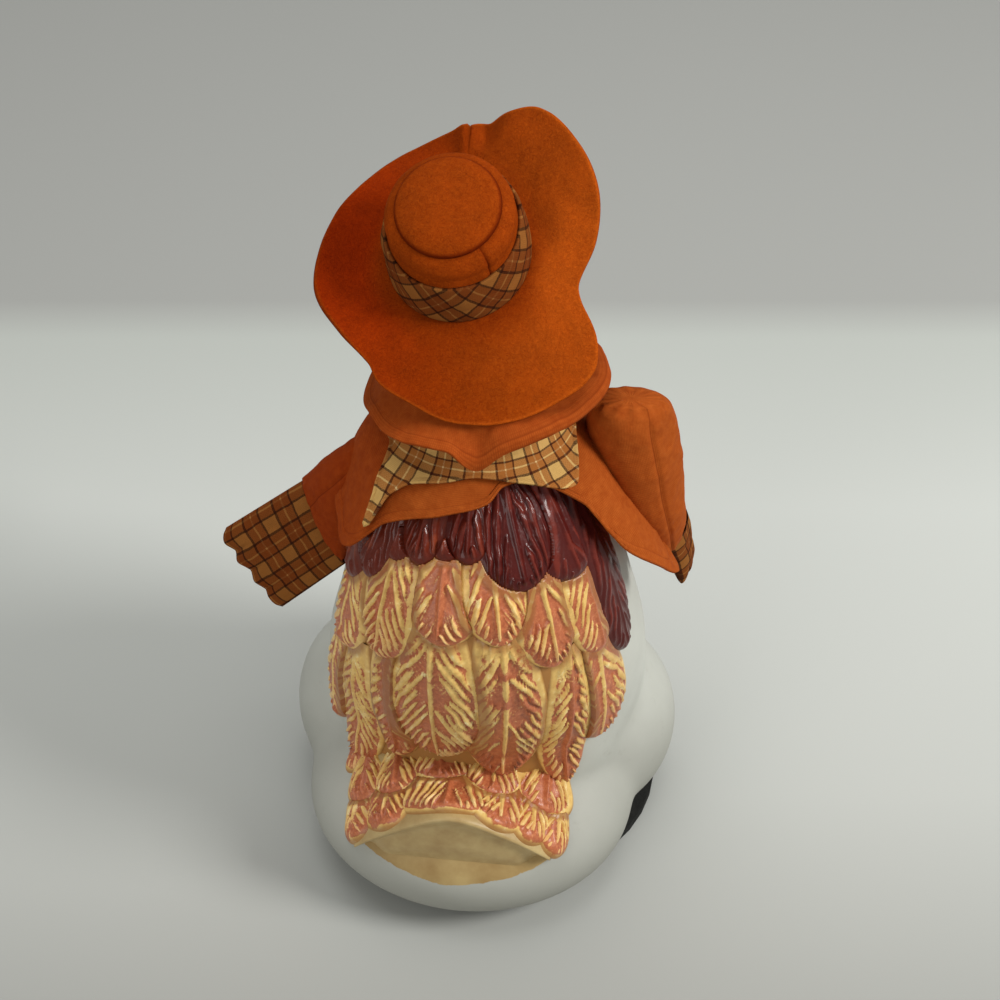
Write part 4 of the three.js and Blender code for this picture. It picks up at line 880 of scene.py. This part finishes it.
def collar_piece():
    turn, v = round_grid(40, 300)
    top = COAT_NECK_SHARE - COLLAR_DROP_SHARE
    t = lerp(top, share(COLLAR_HEM_SHARES, 1, turn), v)
    z = FOOT + t * BODY_HEIGHT
    base = coat_rest(COAT_NECK_SHARE - t) + COTTON + COAT_PLEAT + 2 * FIT + COTTON / 2
    rest = body_point(turn, z)
    creases = 0.35 * noise(rest, 5.0, 1) + 0.2 * noise(rest, 2.2, 2)
    lift = base + creases * smooth(0, 0.3, v) + 0.6 * smooth(0.85, 1, v)
    fall = (COAT_NECK_SHARE - t) * BODY_HEIGHT * COLLAR_SLOPE
    uv = cloth_uv(np.radians(turn), COLLAR_GIRTH_RADIUS, fall)
    piece = Patches().add(over_body(turn, z, lift), closed=True, uv=uv)
    piece = thicken(piece.build("collar_cloth", PLAID), COTTON, 0)
    place(piece, "plaid_collar")


def ruff_piece():
    turn, v = round_grid(40, 300)
    root_z = FOOT + BODY_HEIGHT * COAT_NECK_SHARE - 0.5 * COTTON
    foot = over_body(turn, root_z, COAT_NECK_CLEARANCE + 1.6 * COTTON)
    radius = RUFF_RIM_RADIUS * share(RUFF_RIM_SHARES, 1, turn)
    height = RUFF_HEIGHT * share(RUFF_RIM_SHARES, 2, turn)
    side, back = compass(turn)
    rim = xyz(radius * side, NECK_Y - RUFF_FORWARD + radius * back, root_z + height)
    points = lerp(foot, rim, v[..., None])
    creases = 0.6 * noise(points, 6.0, 4) + 0.25 * noise(points, 2.4, 5)
    rise = RUFF_STAND * smooth(0, 0.2, v) * (1 - v) ** 1.1 + creases * smooth(0.05, 0.3, v)
    roll = 0.9 * np.pi * smooth(0.8, 1, v) * lerp(0.35, 1, smooth(5, -8, turn))
    out = RUFF_ROLL * np.sin(roll)
    points += xyz(out * side, out * back, rise + COTTON / 2 - RUFF_ROLL * (1 - np.cos(roll)))
    uv = cloth_uv(np.radians(turn), COLLAR_GIRTH_RADIUS, v * RUFF_WIDTH)
    # Painted shade: the tone value darkens the whole ruff evenly, as it lies under the brim.
    piece = Patches().add(points, closed=True, uv=uv, stitch=bell(v - 0.86, 0.015), tone=0.4)
    piece = thicken(piece.build("ruff_cloth", ORANGE_COTTON), COTTON * 1.2, 0)
    place(piece, "neck_ruff")


coat_piece()
collar_piece()
ruff_piece()


# Arms.
def point(shares):
    return np.array(shares, float) * (HALF_WIDTH, HALF_DEPTH, BODY_HEIGHT)


def resample(rows, count):
    """A smooth open path of arrays through rows, with the same first and last."""
    rows = np.asarray(rows, float)
    t = np.linspace(0, len(rows) - 1, count)
    table = np.concatenate([np.arange(len(rows))[:, None], rows.reshape(len(rows), -1)], axis=1)
    out = np.stack([share(table, k, t) for k in range(1, table.shape[1])], axis=-1)
    return out.reshape(count, *rows.shape[1:])


def sleeve_piece(name, stations, facing, node, seed, tone):
    """A stuffed sleeve with gathers, a seam and a turned cuff."""
    outer, inner = (resample([point(s[k]) for s in stations], SLEEVE_RINGS) for k in (0, 1))
    depth = resample([[s[2] * HALF_DEPTH] for s in stations], SLEEVE_RINGS)
    facing = np.array(facing) / np.linalg.norm(facing)
    angle = circle(SLEEVE_AROUND)
    centre, half = (outer + inner) / 2, (outer - inner) / 2
    direction = np.cos(angle)[None, :, None] * half[:, None]
    direction = direction + np.sin(angle)[None, :, None] * facing * depth[:, None]
    points = centre[:, None] + direction
    v = np.linspace(0, 1, SLEEVE_RINGS)[:, None]
    from_seam = np.degrees(angle) - SLEEVE_SEAM
    creases = 0.55 * noise(points * (1, 1, 0.7), 7.0, seed) + 0.25 * noise(points, 3.0, seed + 1)
    gathered = smooth(0.2, 0.02, v) + 0.6 * smooth(0.86, 1, v)
    gathers = 0.35 * np.sin(SLEEVE_GATHERS * angle)[None] * gathered
    seam = bell(from_seam, 3.2)[None] * smooth(0.15, 0.3, v)
    points = points + unit(direction) * (creases + gathers - 0.55 * seam)[..., None]
    last, along = centre[-1], unit(centre[-1] - centre[-8])
    cuff = [last + (points[-1] - last) * f - back * along for f, back in SLEEVE_CUFF]
    ends = [np.broadcast_to(middle, points[0].shape)[None] for middle in (centre[0], last - 4.2 * along)]
    rings = np.concatenate([ends[0], points, np.stack(cuff), ends[1]])
    girth = np.concatenate([angle, [2 * np.pi]]) * SLEEVE_RADIUS
    fall = np.linspace(0, SLEEVE_LENGTH, len(rings))
    uv = np.stack(np.broadcast_arrays(girth[None], fall[:, None]), axis=-1)
    stitch = 0.8 * bell(from_seam, 1.6)
    piece = Patches().add(rings, closed=True, flip=side_flip(rings), uv=uv, stitch=stitch, tone=tone)
    piece = piece.build(name, ORANGE_COTTON)
    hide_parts(node)
    start, end = centre[0] * MM, centre[SLEEVE_BENT] * MM
    tuple(start)
    tuple(end)
    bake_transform(piece)


def side_flip(rings):
    """True if faces of closed rings would look inward."""
    middle = len(rings) // 2
    ring, following = rings[middle], rings[middle + 1]
    centre = ring.mean(axis=0)
    normal = np.cross(ring[1] - ring[0], following[0] - ring[0])
    return bool(np.dot(normal, ring[0] - centre) < 0)


def mitt_piece(name, corners, body, node, seed):
    a, b, c, d = [point(p) for p in corners]
    facing = np.cross(c - a, b - a)
    facing = facing / np.linalg.norm(facing)
    u, v = grid(70, 121)
    v = 1 - (1 - v) ** 1.3
    finger = abs(np.sin(MITT_FINGERS * np.pi * u))
    reach = v * lerp(1, share(MITT_REACH_SHARES, 1, u), v ** 3)
    flat = lerp(lerp(a, b, u[..., None]), lerp(c, d, u[..., None]), reach[..., None])
    across, ends = safe_sqrt(1 - (2 * u - 1) ** 2), safe_sqrt(1 - v ** 6)
    quilted = 1 - 0.3 * bell(finger, 0.22) * smooth(0.7, 0.95, v)
    width, length = np.linalg.norm(b - a), np.linalg.norm(c - a)
    uv = np.stack([u * width, v * length], axis=-1)
    patches = Patches()
    for way in (-1, 1):
        creases = 0.35 * noise(flat, 4.0, seed + way) + 0.2 * noise(flat, 2.0, seed + 3)
        lift = way * (MITT_THICKNESS / 2 * across * ends * quilted) + creases * across
        patches.add(flat + facing * lift[..., None], flip=way < 0, uv=uv)
    piece = patches.build(name, PLAID_DARK)
    place(piece, node, body)


# Painted shade: the left sleeve is darkened all over by a tone value of 1.0, the right one has none.
sleeve_piece("sleeve_left_cloth", LEFT_SLEEVE_SHARES, LEFT_FACING, "sleeve_left", 11, 1.0)
sleeve_piece("sleeve_right_cloth", RIGHT_SLEEVE_SHARES, RIGHT_FACING, "sleeve_right", 21, 0.0)
mitt_piece("mitt_left_cloth", LEFT_MITT_SHARES, "left_arm", "mitt_left", 31)
mitt_piece("mitt_right_cloth", RIGHT_MITT_SHARES, "right_arm", "mitt_right", 41)

# Hat.
hat_left = Matrix.Rotation(math.radians(HAT_LEFT_TURN), 3, "Y")
hat_back = Matrix.Rotation(-math.radians(HAT_BACK_TURN), 3, "X")
hat_place = (HEAD_LEFT * 1.1, NECK_Y - HEAD_FORWARD * 0.38, TOP + HEAD_HEIGHT * 0.86)
HAT_FRAME = (np.array(hat_left @ hat_back), np.array(hat_place))


def brim_piece():
    angle, v = round_grid(70, 360)
    side, back = compass(angle)
    rim = BRIM_RADIUS * share(BRIM_SHARES, 1, angle)
    outside = np.maximum(0, (v - BRIM_FLAT) / (1 - BRIM_FLAT))
    wave = BRIM_WAVE * share(BRIM_SHARES, 2, angle) * outside ** 1.4
    r = lerp(CROWN_RADIUS - FELT, rim, v)
    points = xyz(r * side, r * back, wave - FIT - FELT / 2)
    soft = 0.5 * noise(points, 11.0, 6) + 0.25 * noise(points, 4.5, 7)
    fold = (1.6 * bell(angle - 179, 4.0) - 3.0 * bell(angle + 171, 4.5)) * smooth(0.45, 1, v)
    points[..., 2] += soft * smooth(0.1, 0.5, v) + fold
    # Painted shade and light: the felt deepens towards the brim's left half, and a painted highlight lightens
    # its edge.
    tone = 0.55 + 0.45 * side * smooth(0.1, 0.5, v) - 0.35 * smooth(0.965, 0.985, v)
    piece = Patches().add(points, closed=True, tone=tone).build("brim_felt", ORANGE_FELT, HAT_FRAME)
    thicken(piece, FELT, 0)
    place(piece, "hat_brim", "hat")


def crown_radius(h):
    """The crown's radius at a height."""
    return lerp(CROWN_RADIUS, CROWN_TIP_RADIUS, (h / SEAM_HEIGHT) ** 3.2)


def crown_point(angle, h, r):
    return xyz(r * np.sin(angle), r * np.cos(angle) - CROWN_LEAN * h / SEAM_HEIGHT, h)


def crown_pieces():
    s, v = grid(60, 200, closed=True)
    angle = 2 * np.pi * s
    h = SEAM_HEIGHT * v
    soft = 0.35 * noise(crown_point(angle, h, CROWN_RADIUS), 8.0, 8)
    joined = bell(angle - CROWN_SEAM, 0.035) * smooth(0.3, 0.5, v)
    seam = np.maximum(joined, smooth(0.955, 1, v))
    puff = 1.1 * smooth(0.7, 0.86, v) * smooth(1, 0.9, v)
    side = crown_point(angle, h, crown_radius(h) - FELT / 2 + soft * smooth(0.3, 0.6, v) + puff - 0.5 * seam)
    side = Patches().add(side, closed=True, seam=0.8 * seam, tone=0.46)
    side = side.build("crown_side_felt", ORANGE_FELT, HAT_FRAME)
    thicken(side, FELT, 0)
    place(side, "hat_crown_side", "hat")
    f = np.linspace(0, 1, 50)[:, None]
    radius = CROWN_TIP_RADIUS * f
    height = SEAM_HEIGHT + FIT + (CROWN_HEIGHT - SEAM_HEIGHT - FIT) * safe_sqrt(1 - f ** 2.6)
    angle = circle(200)[None]
    tip = crown_point(angle, SEAM_HEIGHT, radius)
    tip[..., 2] = height + 0.25 * noise(tip, 6.0, 9) * (1 - f)
    tip = Patches().add(tip, closed=True, seam=0.8 * smooth(0.93, 0.995, f), tone=0.44)
    tip = thicken(tip.build("crown_tip_felt", ORANGE_FELT, HAT_FRAME), FELT)
    place(tip, "hat_crown_tip", "hat")


def band_piece():
    s, v = grid(24, 240, closed=True)
    angle = 2 * np.pi * s
    top = BAND_WIDTH * (1 - 0.05 * np.cos(angle))
    h = top * v
    base = crown_point(angle, h, CROWN_RADIUS)
    creases = 0.25 * noise(base, 4.0, 10) + 0.25 * abs(noise(base * (1, 1, 2.2), 5.0, 12))
    points = crown_point(angle, h, crown_radius(h) + COTTON / 2 + creases * smooth(0, 0.2, v))
    girth, fall = np.moveaxis(cloth_uv(angle, CROWN_RADIUS, h), -1, 0)
    uv = np.stack([girth * math.cos(BAND_BIAS) - fall * math.sin(BAND_BIAS),
                   girth * math.sin(BAND_BIAS) + fall * math.cos(BAND_BIAS)], axis=-1)
    piece = Patches().add(points, closed=True, uv=uv)
    piece = thicken(piece.build("band_cloth", PLAID_DARK, HAT_FRAME), COTTON, 0)
    place(piece, "hat_band", "hat")


brim_piece()
crown_pieces()
band_piece()


# Head, bill, eyes and feet.
def head_point(turn, t, lift=0.0):
    forward, width, depth = (share(HEAD_SHARES, k, t) for k in (1, 2, 3))
    side, back = compass(turn)
    x = HEAD_LEFT * forward + (HEAD_HALF_WIDTH * width + lift) * side
    y = NECK_Y - HEAD_FORWARD * forward + (HEAD_HALF_WIDTH * depth + lift) * back
    return xyz(x, y, TOP + FIT + HEAD_HEIGHT * t)


def head_piece():
    turn, t = np.meshgrid(np.arange(0, 360, 4), np.linspace(0, 1, 70))
    piece = Patches().add(capped(head_point(turn, t)), closed=True, flip=True, paint=-1.0)
    place(piece.build("head_form", WHITE), "head")


head_piece()


def bill_piece(name, rows, way, node):
    """Half a bill: arched across and round at its end, with nostrils in the upper one."""
    end = rows[-1][0]
    angle, t = np.meshgrid(circle(96), np.linspace(-0.05, end, 80))
    blunt = np.sqrt(np.maximum(1 - np.clip((t - end + 0.22) / 0.22, 0, 1) ** 2, 0.0004))
    root = head_point(180, BILL_HEIGHT_SHARE)
    half = BILL_HALF_WIDTH * share(rows, 1, t) * blunt
    rise = BILL_THICKNESS * share(rows, 2, t) * blunt
    lift = np.where(np.sin(angle) > 0, rise * abs(np.sin(angle)) ** 0.85, 0.2 * np.sin(angle) * blunt)
    base = root[2] + way * FIT - BILL_LENGTH * 0.16 * np.maximum(t, 0)
    x = half * np.cos(angle)
    on_top = (np.sin(angle) > 0) * (way > 0)
    nostril = bell(abs(x) - 3.4, 0.9) * bell(t - 0.3, 0.06) * on_top
    nail = 0.5 * bell(x, 2.6) * smooth(end - 0.28, end - 0.1, t) * on_top
    z = base + way * (lift - 0.7 * nostril + nail * blunt)
    points = capped(xyz(root[0] + x, root[1] - BILL_LENGTH * t, z))
    # Painted shade in the nostril dips.
    crease = np.zeros(points.shape[:2])
    crease[1:-1] = smooth(0.25, 0.8, nostril)
    piece = Patches().add(points, closed=True, flip=side_flip(points), crease=crease).build(name, ORANGE_CLAY)
    place(piece, node)


def eye_piece(name, side, node):
    """A glossy ball set in the head, with a brown iris."""
    centre = head_point(side * EYE_TURN, EYE_HEIGHT_SHARE)
    outward = unit(head_point(side * EYE_TURN, EYE_HEIGHT_SHARE, 1.0) - centre)
    across = unit(np.cross(outward, (0.0, 0.0, 1.0)))
    up = np.cross(across, outward)
    angle, polar = np.meshgrid(circle(64), np.radians(np.linspace(1, 130, 48)))
    radius = EYE_RADIUS * (1 + 0.03 * smooth(0.5, 0.0, polar))
    from_axis = radius * np.sin(polar)
    ball = xyz(from_axis * np.cos(angle), from_axis * np.sin(angle), radius * np.cos(polar))
    points = capped(centre + ball @ np.stack([across, up, outward]))
    iris = np.zeros(points.shape[:2])
    iris[1:-1] = smooth(0.5, 0.6, polar) * smooth(1.05, 0.95, polar)
    piece = Patches().add(points, closed=True, flip=side_flip(points), iris=iris).build(name, EYE)
    place(piece, node)


def foot_piece(name, side, node):
    """A webbed foot with three rounded toes, ridged along each."""
    u, v = grid(90, 121, low=-1.0)
    toes = sum(bell(u - toe, 0.2) for toe in TOE_PLACES)
    outer = lerp(1, 0.86, np.clip(abs(u) / TOE_PLACES[-1], 0, 1))
    reach = outer * (0.9 + 0.1 * toes) - 0.06 * smooth(0.8, 1, abs(u))
    wide = FOOT_HALF_WIDTH * lerp(0.46, 1, smooth(0, 0.85, v))
    around = safe_sqrt(1 - abs(u) ** 5) * safe_sqrt(1 - v ** 9)
    ridge = 1.1 * toes * smooth(0.1, 0.6, v) - 0.5 * smooth(0.5, 0.9, v)
    top = (FOOT_THICKNESS * lerp(0.92, 0.72, v) + ridge) * around
    # Painted shade in the valleys between the toes: the notch value darkens them.
    notch = sum(bell(u - web, 0.09) for web in WEB_PLACES) * smooth(0.55, 0.95, v)
    sine, cosine = compass(side * FOOT_TURN)
    across, along = wide * u, -FOOT_LENGTH * v * reach
    x = side * FOOT_SPREAD + across * cosine - along * sine
    y = HEEL_Y + across * sine + along * cosine
    patches = Patches()
    for z, flip in ((np.maximum(top, SOLE_Z), False), (np.full_like(u, SOLE_Z), True)):
        patches.add(xyz(x, y, z), flip=flip, crease=0.45 * notch)
    place(patches.build(name, ORANGE_CLAY), node)


bill_piece("bill_top", UPPER_BILL_SHARES, 1, "bill_upper")
bill_piece("bill_under", LOWER_BILL_SHARES, -1, "bill_lower")
for side, word in ((1, "left"), (-1, "right")):
    eye_piece("eye_ball_" + word, side, "eye_" + word)
    foot_piece("foot_web_" + word, side, "foot_" + word)
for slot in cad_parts["base_pad"].material_slots:
    slot.material = DARK_FELT


# Floor and light.
FLOOR_HALF = 1500


def stage_piece():
    look = Look("backdrop", Specular_IOR_Level=0.1)
    parts = look.split("Object")
    turned = look.times(parts["X"], math.sin(azimuth))
    nearer = look.minus(turned, look.times(parts["Y"], math.cos(azimuth)))
    along = look.add("MapRange", {"Value": nearer, "From Min": -0.6, "From Max": 0.2})
    # Painted light and shade on the floor: brightest just beyond the figure, darker towards the camera, and
    # darker again far behind it past a sharp step.
    grey = look.ramp(along.outputs["Result"], (0, (178, 179, 176)), (0.445, (174, 175, 172)),
                     (0.475, (194, 198, 193)), (0.6, (204, 207, 203)),
                     (0.76, (190, 192, 188)), (0.86, (164, 165, 161)))
    look.done(grey, 0.8)
    x, y = np.meshgrid(*[np.linspace(-FLOOR_HALF, FLOOR_HALF, 31)] * 2)
    floor = Patches().add(xyz(x, y, np.zeros_like(x))).build("floor", look.material)


def lamp(name, place_mm, size_mm, power, color):
    light = bpy.data.lights.new(name, "AREA")
    light.shape, light.size, light.energy, light.color = "DISK", size_mm * MM, power, color
    lamp_object = bpy.data.objects.new(name, light)
    lamp_object.location = Vector(place_mm) * MM
    aim = Vector(place_mm) - Vector((0, 0, 100))
    lamp_object.rotation_euler = aim.to_track_quat("Z", "Y").to_euler()
    bpy.context.scene.collection.objects.link(lamp_object)


stage_piece()
lamp("key", (-820, 180, 740), 360, 8, (1, 0.99, 0.96))
lamp("top", (60, -60, 1150), 800, 4.4, (1, 1, 0.99))
lamp("fill", (460, 820, 380), 600, 2.2, (1, 0.99, 0.97))
world = bpy.data.worlds.new("studio")
world.use_nodes = True
sky = world.node_tree.nodes["Background"].inputs
sky["Color"].default_value, sky["Strength"].default_value = linear((236, 236, 232)), 0.38
bpy.context.scene.world = world
bpy.context.scene.view_settings.view_transform = "Standard"
